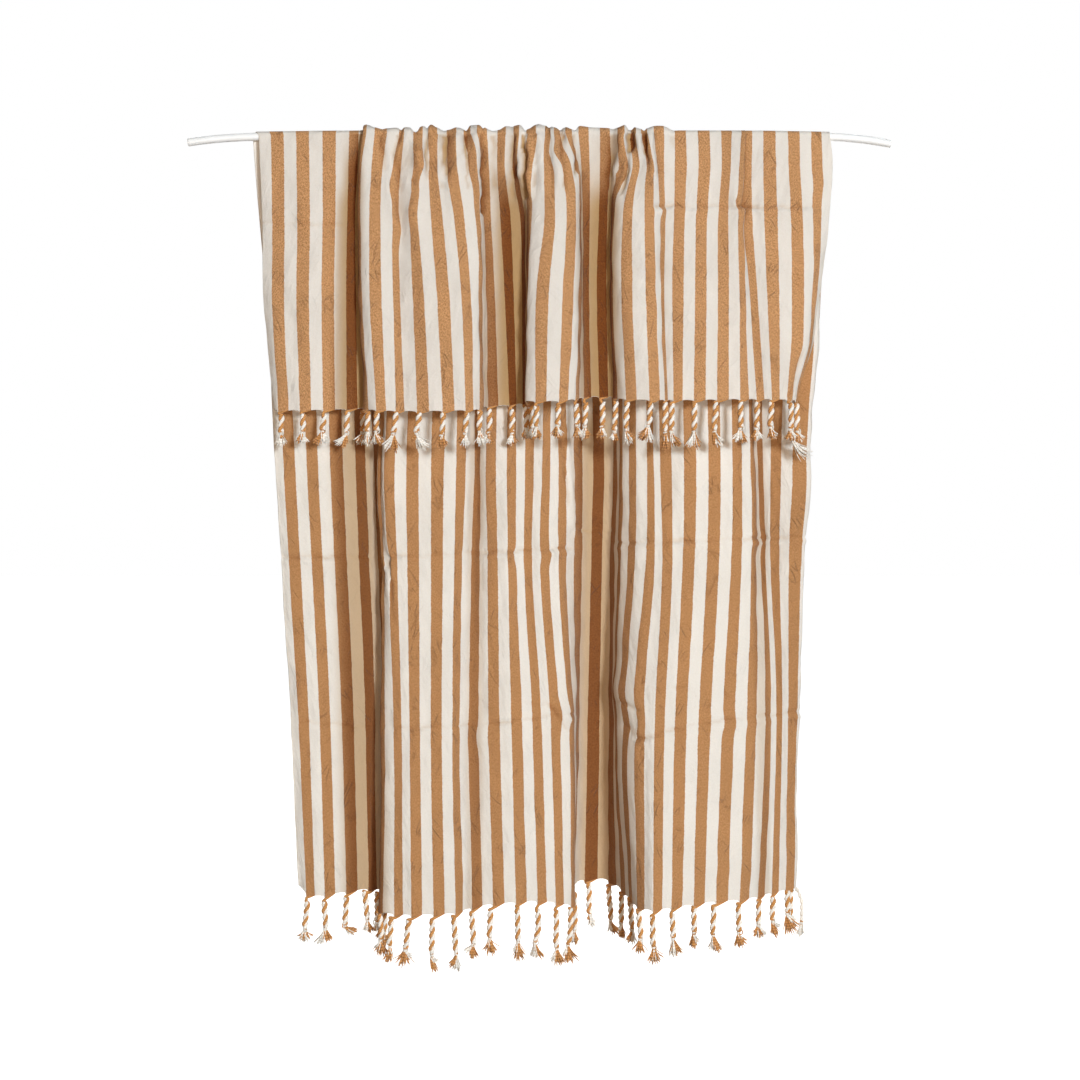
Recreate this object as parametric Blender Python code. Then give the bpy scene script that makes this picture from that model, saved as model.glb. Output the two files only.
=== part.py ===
"""Hammam towel hung over a rod: the solids, in metres, +Z up.

X runs along the rod, Y points away from the viewer and the origin is the middle of the
rod's axis. The towel is one sheet that falls in front of the rod and, longer, behind it.
Its folds are drawn in fold tables: a row for each place across the cloth where it turns.
The drawing unit of the tables is UNIT; a stripe pair of the cloth is 26 units wide.
"""
from __future__ import annotations

import math
from dataclasses import dataclass

import bmesh
import bpy
from mathutils import Vector

PAIR = 0.040  # width of a stripe pair of the cloth: one dark stripe and one pale one
UNIT = PAIR / 26.0  # drawing unit of the fold tables
MID_X = 540.0  # middle of the rod in the drawing, units to the right
AXIS_Y = 135.5  # rod axis at its middle in the drawing, units down
VIEW_DISTANCE = 2.8  # the drawing shows the towel as seen from here, in front of the rod
EYE_DROP = (540.0 - AXIS_Y) * UNIT  # height of the eye below the rod axis

PAIRS = 33  # dark stripes across the cloth
ACROSS = PAIRS + 0.5  # width of the cloth in stripe pairs
CLOTH_THICK = 0.0016
ROD_RADIUS = 0.0060
ROD_SIDES = 16
LYING = 5.1  # middle of the cloth above the rod axis where it lies on the rod, units
CORNER = 0.22  # half width of the rounding of a fold, in stripe pairs
FULLNESS = 1.18  # depth of the folds as built over the depth in the tables

STRIP_GAP = 0.0004  # fringe strip below the hem
STRIP_TALL = 0.0040
TASSEL_HALF = 0.0036  # half of the diagonal of a four-sided tassel
FRONT_ROPE, FRONT_TUFT = 0.040, 0.026  # lengths of a front tassel above and below its knot
BACK_ROPE, BACK_TUFT = 0.050, 0.028  # and of a back one


@dataclass(frozen=True)
class Fold:
    """One row of a fold table.

    Args:
        across: place across the cloth in stripe pairs, from the left selvedge.
        x: drawing position to the right at each level of the table, top to hem.
        out: how far in front of the rod axis it is at each level, in units.
        hem: drawing height of the hem here.
        lift: how far the cloth stands off the rod above it (front table only).
        skew: how far it moves to the right on its way over the rod (front table only).
        swell: how far its upper part stands to the right (back table only).
    """

    across: float
    x: tuple[float, ...]
    out: tuple[float, ...]
    hem: float
    lift: float = 0.0
    skew: float = 0.0
    swell: float = 0.0


# Front fall. Levels down the fall as shares of its drop.
FRONT_LEVELS = (0.0, 0.106, 0.294, 0.577, 1.0)
FRONT = (
    #    across      rod    knots  upper  middle hem       rod   knots upper middle hem    hem    lift
    Fold(0.00, (260.0, 260.5, 262.0, 263.5, 273.5), (5.1, 7.0, 7.0, 7.0, 8.0), 410.0, 0.0, -7.5),
    Fold(0.50, (270.0, 270.5, 271.5, 271.5, 277.5), (5.1, 8.0, 9.0, 11.0, 13.0), 410.5, 0.0, -5.0),
    Fold(2.00, (308.0, 309.0, 310.0, 309.0, 311.0), (5.1, 8.0, 11.0, 14.0, 16.0), 410.0, 0.0),
    Fold(3.50, (350.0, 349.0, 348.0, 346.5, 347.0), (5.1, 6.0, 7.0, 8.0, 9.0), 409.0, 0.0),
    Fold(4.00, (359.5, 358.0, 355.0, 356.0, 358.0), (5.1, 5.0, 5.0, 4.0, 4.0), 408.5, 0.0),
    Fold(4.60, (367.0, 368.0, 366.0, 366.0, 368.0), (6.5, 4.5, 3.0, 2.0, 2.0), 408.0, 1.0),
    Fold(5.45, (363.5, 358.0, 357.5, 358.5, 362.5), (13.0, 14.0, 14.0, 14.5, 15.0), 409.0, 4.5),
    Fold(6.00, (367.5, 361.0, 360.0, 361.5, 368.0), (15.0, 17.0, 19.0, 20.0, 22.0), 409.5, 6.0),
    Fold(6.50, (375.0, 372.0, 369.0, 369.0, 376.0), (10.0, 15.0, 20.0, 23.0, 25.0), 410.0, 2.5),
    Fold(7.50, (401.0, 394.0, 392.0, 394.0, 396.0), (12.0, 13.0, 17.0, 20.0, 23.0), 411.0, 3.2),
    Fold(8.00, (404.5, 401.0, 398.0, 399.0, 404.0), (13.0, 11.0, 14.0, 17.0, 21.0), 411.0, 3.5),
    Fold(8.60, (416.0, 416.0, 413.0, 415.5, 420.0), (12.0, 17.0, 20.0, 22.0, 25.0), 411.0, 1.5),
    Fold(9.00, (424.0, 421.0, 418.0, 423.5, 429.0), (10.0, 15.0, 21.0, 24.0, 27.0), 411.0, 4.0),
    Fold(9.50, (428.5, 428.5, 431.0, 437.0, 443.0), (13.0, 12.0, 19.0, 24.0, 28.0), 410.5, 6.0),
    Fold(10.50, (447.0, 446.5, 454.0, 461.5, 466.0), (6.0, 12.0, 20.0, 25.0, 28.0), 410.0, 0.0),
    Fold(11.00, (457.0, 457.0, 463.5, 471.0, 473.5), (12.0, 16.0, 20.0, 23.0, 25.0), 410.0, 3.5),
    Fold(11.50, (464.0, 468.5, 476.0, 480.0, 479.5), (8.0, 13.0, 17.0, 19.0, 20.0), 409.0, 0.3),
    Fold(12.10, (472.0, 478.0, 481.0, 483.0, 483.5), (9.0, 13.0, 14.0, 14.0, 14.0), 407.0, 4.5),
    Fold(12.60, (478.5, 482.0, 483.5, 487.0, 489.0), (12.0, 9.0, 8.0, 8.0, 8.0), 406.0, 5.5),
    Fold(13.50, (498.0, 497.5, 500.0, 504.5, 510.0), (5.5, 6.0, 5.5, 5.5, 6.0), 405.0, 0.0),
    Fold(14.50, (514.0, 512.0, 520.5, 522.5, 523.0), (9.0, 6.5, 5.0, 5.0, 5.5), 403.5, 4.2),
    Fold(15.00, (519.0, 517.5, 525.0, 527.0, 529.0), (12.0, 10.0, 9.0, 8.5, 8.0), 403.0, 5.0),
    Fold(15.50, (526.0, 523.5, 528.0, 529.0, 530.0), (9.0, 13.0, 15.0, 15.0, 15.0), 402.0, 1.2),
    Fold(16.00, (536.0, 532.5, 531.5, 529.5, 524.5), (14.0, 17.0, 22.0, 25.0, 27.0), 401.0, 6.5),
    Fold(16.50, (545.5, 544.5, 545.0, 538.5, 536.0), (9.0, 18.0, 25.0, 29.0, 31.0), 401.0, 4.0),
    Fold(17.00, (550.5, 551.5, 555.0, 549.0, 546.0), (14.0, 19.0, 26.0, 31.0, 33.0), 401.0, 4.0),
    Fold(17.50, (553.5, 560.5, 567.0, 563.0, 559.5), (10.0, 21.0, 25.0, 29.0, 31.0), 401.0, 3.6),
    Fold(18.00, (560.0, 571.5, 576.5, 574.5, 568.0), (7.0, 18.0, 21.0, 25.0, 29.0), 400.0, 2.6),
    Fold(18.50, (565.0, 577.0, 580.5, 580.0, 575.5), (11.0, 14.0, 16.0, 20.0, 25.0), 399.0, 3.2),
    Fold(19.10, (573.0, 579.5, 582.0, 582.5, 579.5), (11.0, 10.0, 10.0, 13.0, 17.0), 398.0, 0.8),
    Fold(19.60, (579.5, 581.0, 582.5, 583.0, 584.5), (6.0, 7.0, 6.0, 7.0, 9.0), 397.0, 4.6),
    Fold(20.50, (600.0, 600.0, 599.0, 596.5, 599.0), (5.1, 4.5, 4.0, 3.0, 3.0), 396.5, 2.6),
    Fold(21.15, (612.5, 613.0, 610.5, 609.5, 611.5), (7.0, 6.5, 6.0, 5.0, 5.0), 397.0, 2.4),
    Fold(21.90, (622.5, 623.0, 612.5, 610.5, 615.5), (13.0, 16.0, 16.0, 16.0, 16.0), 398.5, 5.2),
    Fold(22.50, (631.0, 631.0, 623.0, 621.0, 626.0), (9.0, 18.0, 21.0, 22.0, 23.0), 399.0, 3.4),
    Fold(23.00, (635.0, 637.0, 632.0, 632.0, 636.5), (15.0, 15.0, 22.0, 25.0, 26.0), 399.5, 3.0),
    Fold(23.50, (640.5, 645.0, 645.0, 646.0, 650.0), (10.0, 18.0, 23.0, 26.0, 28.0), 400.0, 1.0),
    Fold(24.00, (646.0, 652.0, 654.0, 656.5, 660.0), (15.0, 19.0, 22.0, 24.0, 26.0), 400.0, 2.6),
    Fold(24.60, (654.5, 657.0, 661.0, 661.5, 665.5), (9.0, 14.0, 16.0, 18.0, 22.0), 400.0, 4.8),
    Fold(25.20, (668.0, 667.5, 667.5, 665.5, 669.0), (7.0, 11.0, 14.0, 18.0, 22.0), 400.0, 2.6),
    Fold(25.80, (681.0, 682.0, 680.5, 679.0, 678.0), (5.1, 11.0, 17.0, 21.0, 24.0), 400.0, 0.0),
    Fold(27.50, (721.0, 722.0, 718.5, 718.0, 717.0), (5.1, 10.0, 15.0, 19.0, 22.0), 399.5, 0.0),
    Fold(28.50, (742.0, 740.5, 738.5, 740.5, 740.5), (7.5, 12.0, 17.0, 20.0, 22.0), 399.0, 0.0),
    Fold(28.95, (748.5, 748.5, 745.5, 745.5, 748.5), (8.0, 11.0, 15.0, 17.0, 20.0), 399.0, 0.0),
    Fold(29.60, (751.0, 749.5, 747.0, 751.0, 758.5), (5.1, 7.0, 10.0, 15.0, 19.0), 399.0, 0.0),
    Fold(30.50, (762.5, 763.0, 764.0, 766.5, 772.0), (5.1, 9.0, 14.0, 18.0, 20.0), 399.0, 0.0),
    Fold(32.20, (804.0, 804.5, 806.0, 807.0, 800.0), (5.1, 10.0, 14.0, 16.0, 17.0), 400.0, 0.0),
    Fold(32.80, (817.5, 819.0, 819.0, 814.0, 801.0), (5.1, 9.0, 12.0, 11.0, 10.0), 401.0, 0.0),
    Fold(33.50, (829.0, 832.5, 830.0, 816.0, 795.0), (5.1, 7.0, 6.0, 5.5, 6.0), 402.0, 0.0),
)

# Back fall. Its top level is the front table's rod level, on the far side of the rod.
BACK_LEVELS = (0.0, 0.45, 0.535, 0.751, 1.0)
BACK = (
    #    across      upper  crease lower  hem        upper   crease lower  hem      hem
    Fold(0.00, (276.0, 280.0, 290.0, 298.5), (-10.0, -10.0, -8.0, -6.0), 885.5),
    Fold(0.50, (283.5, 287.0, 297.0, 306.0), (-9.0, -8.0, -6.0, -3.0), 893.5),
    Fold(1.20, (300.5, 304.0, 312.5, 318.5), (-9.5, -8.5, -5.0, -2.0), 896.0),
    Fold(2.20, (323.0, 326.0, 334.0, 339.5), (-10.5, -9.5, -6.5, -4.0), 892.5),
    Fold(3.50, (356.0, 358.5, 365.0, 369.0), (-15.0, -15.0, -12.0, -10.0), 888.5),
    Fold(4.10, (368.0, 371.0, 376.5, 377.5), (-19.0, -20.0, -18.0, -17.0), 889.0),
    Fold(5.30, (386.0, 390.0, 394.0, 395.0), (-44.0, -45.0, -43.0, -42.0), 892.5),
    Fold(5.75, (395.0, 399.0, 402.0, 403.0), (-41.0, -41.0, -38.0, -36.0), 894.0),
    Fold(6.50, (385.5, 389.5, 391.0, 389.5), (-27.0, -23.0, -16.0, -12.0), 900.0),
    Fold(7.45, (376.5, 379.5, 380.5, 377.5), (-13.0, -9.0, 1.0, 11.0), 909.0),
    Fold(7.95, (381.5, 383.0, 384.0, 381.5), (-15.0, -10.0, 5.0, 18.0), 912.5),
    Fold(8.50, (383.0, 386.5, 393.5, 394.5), (-6.0, -2.0, 8.0, 21.0), 914.0),
    Fold(9.50, (406.0, 407.0, 409.0, 411.0), (-7.0, -2.0, 10.0, 24.0), 915.0),
    Fold(11.50, (456.0, 455.0, 452.5, 456.0), (-8.0, -3.0, 8.0, 21.0), 913.0),
    Fold(12.00, (465.0, 462.5, 459.5, 463.0), (-12.0, -7.0, 3.0, 16.0), 910.5),
    Fold(12.60, (476.0, 474.0, 471.0, 474.0), (-22.0, -16.0, -5.0, 8.0), 907.0),
    Fold(13.50, (485.0, 487.0, 488.0, 493.0), (-12.0, -8.0, 0.0, 11.0), 903.5),
    Fold(14.50, (507.0, 508.0, 511.0, 516.0), (-8.0, -4.0, 3.0, 12.0), 902.0),
    Fold(15.50, (525.0, 524.0, 532.0, 538.0), (-15.0, -12.0, -5.0, 2.0), 900.5),
    Fold(16.50, (542.0, 539.5, 550.0, 556.0), (-13.0, -10.0, -7.0, -4.0), 902.5),
    Fold(17.60, (560.0, 559.5, 570.0, 573.5), (-21.0, -20.0, -14.0, -9.0), 905.5),
    Fold(18.10, (567.5, 566.5, 574.0, 576.5), (-27.0, -27.0, -22.0, -17.0), 902.0),
    Fold(18.80, (578.5, 578.5, 577.0, 572.0), (-38.0, -38.0, -40.0, -34.0), 890.0),
    Fold(19.30, (589.0, 587.5, 583.5, 580.0), (-44.0, -46.0, -48.0, -46.0), 879.5),
    Fold(20.30, (611.0, 609.0, 607.0, 605.0), (-46.0, -49.0, -52.0, -50.0), 878.5),
    Fold(20.90, (617.0, 615.0, 613.0, 615.0), (-38.0, -40.0, -42.0, -38.0), 884.0),
    Fold(22.00, (622.0, 621.0, 615.5, 626.0), (-22.0, -22.0, -20.0, -12.0), 895.0),
    Fold(23.00, (635.5, 635.0, 626.5, 632.0), (-12.0, -9.0, -2.0, 10.0), 903.0),
    Fold(23.60, (649.5, 649.0, 635.0, 638.0), (-9.0, -5.0, 6.0, 21.0), 907.5),
    Fold(24.50, (660.0, 662.0, 655.0, 653.0), (-12.0, -4.0, 12.0, 32.0), 910.5),
    Fold(25.50, (684.0, 683.0, 675.0, 671.0), (-7.0, -2.0, 10.0, 27.0), 907.5),
    Fold(27.50, (733.0, 732.0, 723.0, 716.0), (-8.0, -5.0, 3.0, 11.0), 901.0),
    Fold(28.60, (753.0, 754.0, 749.5, 742.0), (-11.0, -9.0, -3.0, 3.0), 899.5),
    Fold(29.50, (757.5, 760.0, 765.5, 758.0), (-24.0, -22.0, -10.0, -9.0), 896.5),
    Fold(30.50, (770.0, 769.5, 776.5, 772.0), (-18.0, -18.0, -15.0, -16.0), 893.0, swell=3.0),
    Fold(31.50, (792.0, 789.0, 788.0, 785.5), (-12.0, -12.0, -14.0, -18.0), 889.5, swell=8.0),
    Fold(32.20, (810.5, 806.0, 800.0, 796.0), (-13.0, -14.0, -18.0, -24.0), 887.0, swell=8.0),
    Fold(32.80, (813.0, 808.5, 801.0, 796.5), (-24.0, -25.0, -29.0, -34.0), 886.5, swell=6.0),
    Fold(33.50, (811.0, 805.0, 797.0, 794.0), (-31.0, -32.0, -36.0, -41.0), 886.5, swell=4.0),
)

# The rod's axis, bowed a little and cut square at both ends: drawing position right and down.
ROD_AXIS = (
    (188.0, 142.5), (205.0, 140.2), (225.0, 138.3), (256.0, 136.8), (320.0, 135.9), (430.0, 135.5),
    (540.0, 135.5), (650.0, 135.5), (770.0, 135.9), (832.0, 137.0), (858.0, 139.0), (875.0, 141.2),
    (891.0, 144.0),
)

SADDLE = 8  # steps of the cloth over the rod
FRONT_STEPS = (0.035, 0.08, 0.13, 0.19, 0.27, 0.37, 0.48, 0.61, 0.74, 0.87, 1.0)
BACK_STEPS = (0.03, 0.08, 0.15, 0.24, 0.34, 0.44, 0.52, 0.60, 0.68, 0.76, 0.84, 0.92, 1.0)

# Tassels that stand a little aside of the dark stripe they hang from, in stripe pairs.
FRONT_ASIDE = {5: 0.1, 16: -0.1, 25: 0.1}
BACK_ASIDE = {8: 0.12, 19: 0.1}


def lerp(a: float, b: float, t: float) -> float:
    """Straight blend from a to b."""
    return a + (b - a) * t


def drawn(x: float, y: float, out: float) -> Vector:
    """Point in metres of a drawing position that is `out` units in front of the rod axis."""
    ahead = out * UNIT
    scale = 1.0 - ahead / VIEW_DISTANCE
    height = (AXIS_Y - y) * UNIT + EYE_DROP
    return Vector(((x - MID_X) * UNIT * scale, -ahead, height * scale - EYE_DROP))


def rod_axis_y(x: float) -> float:
    """Drawing height of the rod's axis at x."""
    for (x0, y0), (x1, y1) in zip(ROD_AXIS, ROD_AXIS[1:]):
        if x <= x1:
            return lerp(y0, y1, max(0.0, (x - x0) / (x1 - x0)))
    return ROD_AXIS[-1][1]


def straight(rows: tuple[Fold, ...], across: float) -> tuple[Fold, Fold, float]:
    """The two rows around a place across the cloth, and the share between them."""
    for low, high in zip(rows, rows[1:]):
        if across <= high.across:
            return low, high, (across - low.across) / (high.across - low.across)
    return rows[-2], rows[-1], 1.0


def rounded(rows: tuple[Fold, ...], across: float) -> tuple[list[float], list[float], list[float]]:
    """Positions and depths across the cloth with the folds rounded, then hem, lift, skew and swell."""
    reach = min(CORNER, across, ACROSS - across)
    count = 7 if reach > 1e-6 else 1
    xs = [0.0] * len(rows[0].x)
    outs = [0.0] * len(rows[0].out)
    others = [0.0] * 4
    total = 0.0
    for i in range(count):
        share = (i - (count - 1) / 2) / max(1, (count - 1) / 2)
        weight = 1.0 - 0.6 * abs(share)
        low, high, t = straight(rows, across + share * reach)
        xs = [value + weight * lerp(a, b, t) for value, a, b in zip(xs, low.x, high.x)]
        outs = [value + weight * lerp(a, b, t) for value, a, b in zip(outs, low.out, high.out)]
        pairs = ((low.hem, high.hem), (low.lift, high.lift), (low.skew, high.skew), (low.swell, high.swell))
        others = [value + weight * lerp(a, b, t) for value, (a, b) in zip(others, pairs)]
        total += weight
    base = LYING if rows is FRONT else 0.0
    full = [base + (v / total - base) * FULLNESS for v in outs]
    return [v / total for v in xs], full, [v / total for v in others]


def through(levels: tuple[float, ...], values: list[float], t: float) -> float:
    """Smooth curve through the values at the levels."""
    last = len(levels) - 1
    i = min(max(0, sum(1 for level in levels if level <= t) - 1), last - 1)

    def slope(k: int) -> float:
        if k == 0:
            return (values[1] - values[0]) / (levels[1] - levels[0])
        if k == last:
            return (values[last] - values[last - 1]) / (levels[last] - levels[last - 1])
        left = (values[k] - values[k - 1]) / (levels[k] - levels[k - 1])
        right = (values[k + 1] - values[k]) / (levels[k + 1] - levels[k])
        return 0.0 if left * right < 0 else 0.5 * (left + right)

    span = levels[i + 1] - levels[i]
    s = (t - levels[i]) / span
    return (
        (1 + 2 * s) * (1 - s) ** 2 * values[i]
        + s * (1 - s) ** 2 * span * slope(i)
        + s * s * (3 - 2 * s) * values[i + 1]
        + s * s * (s - 1) * span * slope(i + 1)
    )


def leaving(x: float, out: float) -> Vector:
    """Where the cloth leaves the rod, level with the rod's axis and `out` units off it."""
    return drawn(x, rod_axis_y(x), 0.0) + Vector((0.0, -out * UNIT, 0.0))


def falling(x0: float, out0: float, t: float, x: float, out: float, hem: float) -> Vector:
    """Point of a fall that starts where the cloth leaves the rod and ends at its hem."""
    y0 = rod_axis_y(x0)
    aside = leaving(x0, out0) - drawn(x0, y0, out0)
    return drawn(x, lerp(y0, hem, t), out) + aside * max(0.0, 1.0 - t / 0.2) ** 2


def front_point(across: float, t: float) -> Vector:
    """Middle of the cloth in the front fall, t from the rod (0) to the hem (1)."""
    xs, outs, (hem, _, _, _) = rounded(FRONT, across)
    return falling(xs[0], outs[0], t, through(FRONT_LEVELS, xs, t), through(FRONT_LEVELS, outs, t), hem)


def back_reach(out: float) -> float:
    """Depth behind the axis where the cloth leaves the rod at the back."""
    return -(LYING + 0.45 * (out - LYING))


def back_point(across: float, t: float) -> Vector:
    """Middle of the cloth in the back fall, t from the rod (0) to the hem (1)."""
    top_xs, top_outs, (_, _, skew, _) = rounded(FRONT, across)
    xs, outs, (hem, _, _, swell) = rounded(BACK, across)
    start, top = back_reach(top_outs[0]), top_xs[0] + skew
    x = through(BACK_LEVELS, [top] + xs, t) + swell * math.sin(math.pi * min(1.0, t / BACK_LEVELS[1])) ** 2
    return falling(top, start, t, x, through(BACK_LEVELS, [start] + outs, t), hem)


def saddle_point(across: float, turn: float) -> Vector:
    """Middle of the cloth over the rod, turn from the front (0) to the back (1)."""
    xs, outs, (_, lift, skew, _) = rounded(FRONT, across)
    angle = math.pi * turn
    reach = outs[0] if turn < 0.5 else -back_reach(outs[0])
    rise = Vector((0.0, 0.0, (LYING + lift) * UNIT * math.sin(angle)))
    return leaving(xs[0] + skew * turn, reach * math.cos(angle)) + rise


def columns() -> list[float]:
    """Places across the cloth where the sheet has a column: each fold and between them."""
    places = sorted({row.across for row in FRONT} | {row.across for row in BACK})
    kept = [places[0]]
    for place in places[1:]:
        if place - kept[-1] < 0.16 and place != ACROSS:
            continue
        steps = max(1, math.ceil((place - kept[-1]) / 0.56))
        start = kept[-1]
        kept += [lerp(start, place, (k + 1) / steps) for k in range(steps)]
    return kept


def cloth_lines(across: float) -> list[Vector]:
    """One column of the sheet from the front hem over the rod to the back hem."""
    line = [front_point(across, t) for t in reversed(FRONT_STEPS)]
    line += [saddle_point(across, k / SADDLE) for k in range(SADDLE + 1)]
    line += [back_point(across, t) for t in BACK_STEPS]
    return line


def thick_sheet(name: str, grid: list[list[Vector]], thick: float) -> bpy.types.Object:
    """Closed body of a sheet: the grid of its middle moved to both sides, with a rim."""
    wide, long = len(grid), len(grid[0])
    mesh = bmesh.new()
    faces = {1: [], -1: []}
    for side in (1, -1):
        for i in range(wide):
            column = []
            for j in range(long):
                du = grid[min(i + 1, wide - 1)][j] - grid[max(i - 1, 0)][j]
                dv = grid[i][min(j + 1, long - 1)] - grid[i][max(j - 1, 0)]
                column.append(mesh.verts.new(grid[i][j] + du.cross(dv).normalized() * (side * thick / 2)))
            faces[side].append(column)
    for i in range(wide - 1):
        for j in range(long - 1):
            a, b = faces[1], faces[-1]
            mesh.faces.new((a[i][j], a[i + 1][j], a[i + 1][j + 1], a[i][j + 1]))
            mesh.faces.new((b[i][j + 1], b[i + 1][j + 1], b[i + 1][j], b[i][j]))
    a, b = faces[1], faces[-1]
    for i in range(wide - 1):
        mesh.faces.new((b[i][0], b[i + 1][0], a[i + 1][0], a[i][0]))
        mesh.faces.new((a[i][-1], a[i + 1][-1], b[i + 1][-1], b[i][-1]))
    for j in range(long - 1):
        mesh.faces.new((a[0][j], a[0][j + 1], b[0][j + 1], b[0][j]))
        mesh.faces.new((b[-1][j], b[-1][j + 1], a[-1][j + 1], a[-1][j]))
    return as_object(name, mesh)


def as_object(name: str, mesh: bmesh.types.BMesh) -> bpy.types.Object:
    """Object of a mesh, its faces turned outward."""
    bmesh.ops.recalc_face_normals(mesh, faces=mesh.faces)
    data = bpy.data.meshes.new(name)
    mesh.to_mesh(data)
    mesh.free()
    return bpy.data.objects.new(name, data)


def add_tassel(mesh: bmesh.types.BMesh, root: Vector, rope: float, tuft: float, lean: float, face: float) -> None:
    """Four-sided tassel: a rope, its knot and a tuft that widens and ends blunt.

    Args:
        mesh: mesh that the tassel is added to.
        root: middle of its top, inside the strip.
        rope: length above the knot.
        tuft: length below it.
        lean: how far its end is moved aside along the rod.
        face: turn of its four sides about the rope.
    """
    half = TASSEL_HALF
    rings = (
        (0.0, 0.85), (0.30 * rope, 1.0), (0.90 * rope, 0.92), (rope, 1.30),
        (rope + 0.25 * tuft, 1.10), (rope + 0.75 * tuft, 1.55), (rope + tuft, 1.05),
    )
    before = None
    for down, size in rings:
        share = down / (rope + tuft)
        middle = root + Vector((lean * share ** 1.5, 0.0, -down))
        ring = [
            mesh.verts.new(middle + Vector((math.cos(face + k * math.pi / 2), math.sin(face + k * math.pi / 2), 0.0))
                           * (half * size))
            for k in range(4)
        ]
        if before is None:
            mesh.faces.new(ring)
        else:
            for k in range(4):
                mesh.faces.new((before[k], before[(k + 1) % 4], ring[(k + 1) % 4], ring[k]))
        before = ring
    mesh.faces.new(before[::-1])


def hem_point(front: bool, across: float) -> Vector:
    """Point of a hem of the cloth."""
    return front_point(across, 1.0) if front else back_point(across, 1.0)


def fringe(name: str, front: bool, places: list[float], stand: bpy.types.Collection) -> bpy.types.Object:
    """Fringe of a hem: a narrow strip parted from the cloth, with a tassel for each dark stripe."""
    aside = FRONT_ASIDE if front else BACK_ASIDE
    rope, tuft = (FRONT_ROPE, FRONT_TUFT) if front else (BACK_ROPE, BACK_TUFT)
    grid = []
    for across in places:
        top = hem_point(front, across) - Vector((0.0, 0.0, STRIP_GAP))
        grid.append([top, top - Vector((0.0, 0.0, STRIP_TALL))])
    strip = thick_sheet(name, grid, CLOTH_THICK)
    mesh = bmesh.new()
    for k in range(1, PAIRS + 2):
        across = ACROSS - 0.12 if k == PAIRS + 1 else k - 0.5 + aside.get(k, 0.0)
        root = hem_point(front, across) - Vector((0.0, 0.0, STRIP_GAP + 0.45 * STRIP_TALL))
        sway = 0.005 * math.sin(2.4 * k + (0.0 if front else 1.3))
        add_tassel(mesh, root, rope * (1.0 + 0.06 * math.sin(3.1 * k)), tuft, sway, 0.35 + 0.5 * math.sin(1.7 * k))
    tassels = as_object(name + "_tassels", mesh)
    tassels.hide_render = True
    tassels.display_type = "WIRE"
    stand.objects.link(tassels)
    union = strip.modifiers.new("tassels", "BOOLEAN")
    union.operation = "UNION"
    union.solver = "EXACT"
    union.use_self = True
    union.object = tassels
    return strip


def rod(name: str) -> bpy.types.Object:
    """The plain round rod: rings square to its axis, closed flat at both ends."""
    axis = [drawn(x, y, 0.0) for x, y in ROD_AXIS]
    mesh = bmesh.new()
    before = None
    for i, middle in enumerate(axis):
        along = (axis[min(i + 1, len(axis) - 1)] - axis[max(i - 1, 0)]).normalized()
        up = Vector((0.0, -1.0, 0.0)).cross(along).normalized()
        ring = []
        for k in range(ROD_SIDES):
            angle = 2 * math.pi * (k + 0.5) / ROD_SIDES
            ring.append(mesh.verts.new(
                middle + up * (ROD_RADIUS * math.sin(angle)) + Vector((0.0, ROD_RADIUS * math.cos(angle), 0.0))
            ))
        if before is None:
            mesh.faces.new(ring)
        else:
            for k in range(ROD_SIDES):
                mesh.faces.new((before[k], ring[k], ring[(k + 1) % ROD_SIDES], before[(k + 1) % ROD_SIDES]))
        before = ring
    mesh.faces.new(before[::-1])
    return as_object(name, mesh)


def main() -> None:
    """Build the towel, its two fringes and the rod."""
    for thing in list(bpy.data.objects):
        bpy.data.objects.remove(thing, do_unlink=True)
    parts = bpy.data.collections.new("hammam_towel")
    cutters = bpy.data.collections.new("cutters")
    bpy.context.scene.collection.children.link(parts)
    bpy.context.scene.collection.children.link(cutters)
    places = columns()
    parts.objects.link(thick_sheet("towel_cloth", [cloth_lines(across) for across in places], CLOTH_THICK))
    parts.objects.link(fringe("fringe_front", True, places, cutters))
    parts.objects.link(fringe("fringe_back", False, places, cutters))
    parts.objects.link(rod("rod"))


main()
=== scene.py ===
"""Looks of a hammam towel hung over a rod: striped cloth, twisted fringes and the rod.

Metres, +Z up. X runs along the rod, Y points away from the viewer and the origin is the
middle of the rod's axis. The cloth is one thin sheet on the folds of its solid, so the fold
tables are the same, in drawing units of UNIT, and only the steps between them are finer.
"""
from __future__ import annotations

import logging
import math
from dataclasses import dataclass, field
from enum import Enum

import bpy
import numpy as np
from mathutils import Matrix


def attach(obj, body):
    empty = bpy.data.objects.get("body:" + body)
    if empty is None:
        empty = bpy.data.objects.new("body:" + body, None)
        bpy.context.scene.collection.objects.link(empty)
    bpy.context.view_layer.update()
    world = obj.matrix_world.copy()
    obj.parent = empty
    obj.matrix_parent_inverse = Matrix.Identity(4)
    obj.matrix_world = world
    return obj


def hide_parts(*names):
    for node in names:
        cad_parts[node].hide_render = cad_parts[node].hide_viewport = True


Colour = tuple[float, float, float, float]
Socket = bpy.types.NodeSocket

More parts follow.
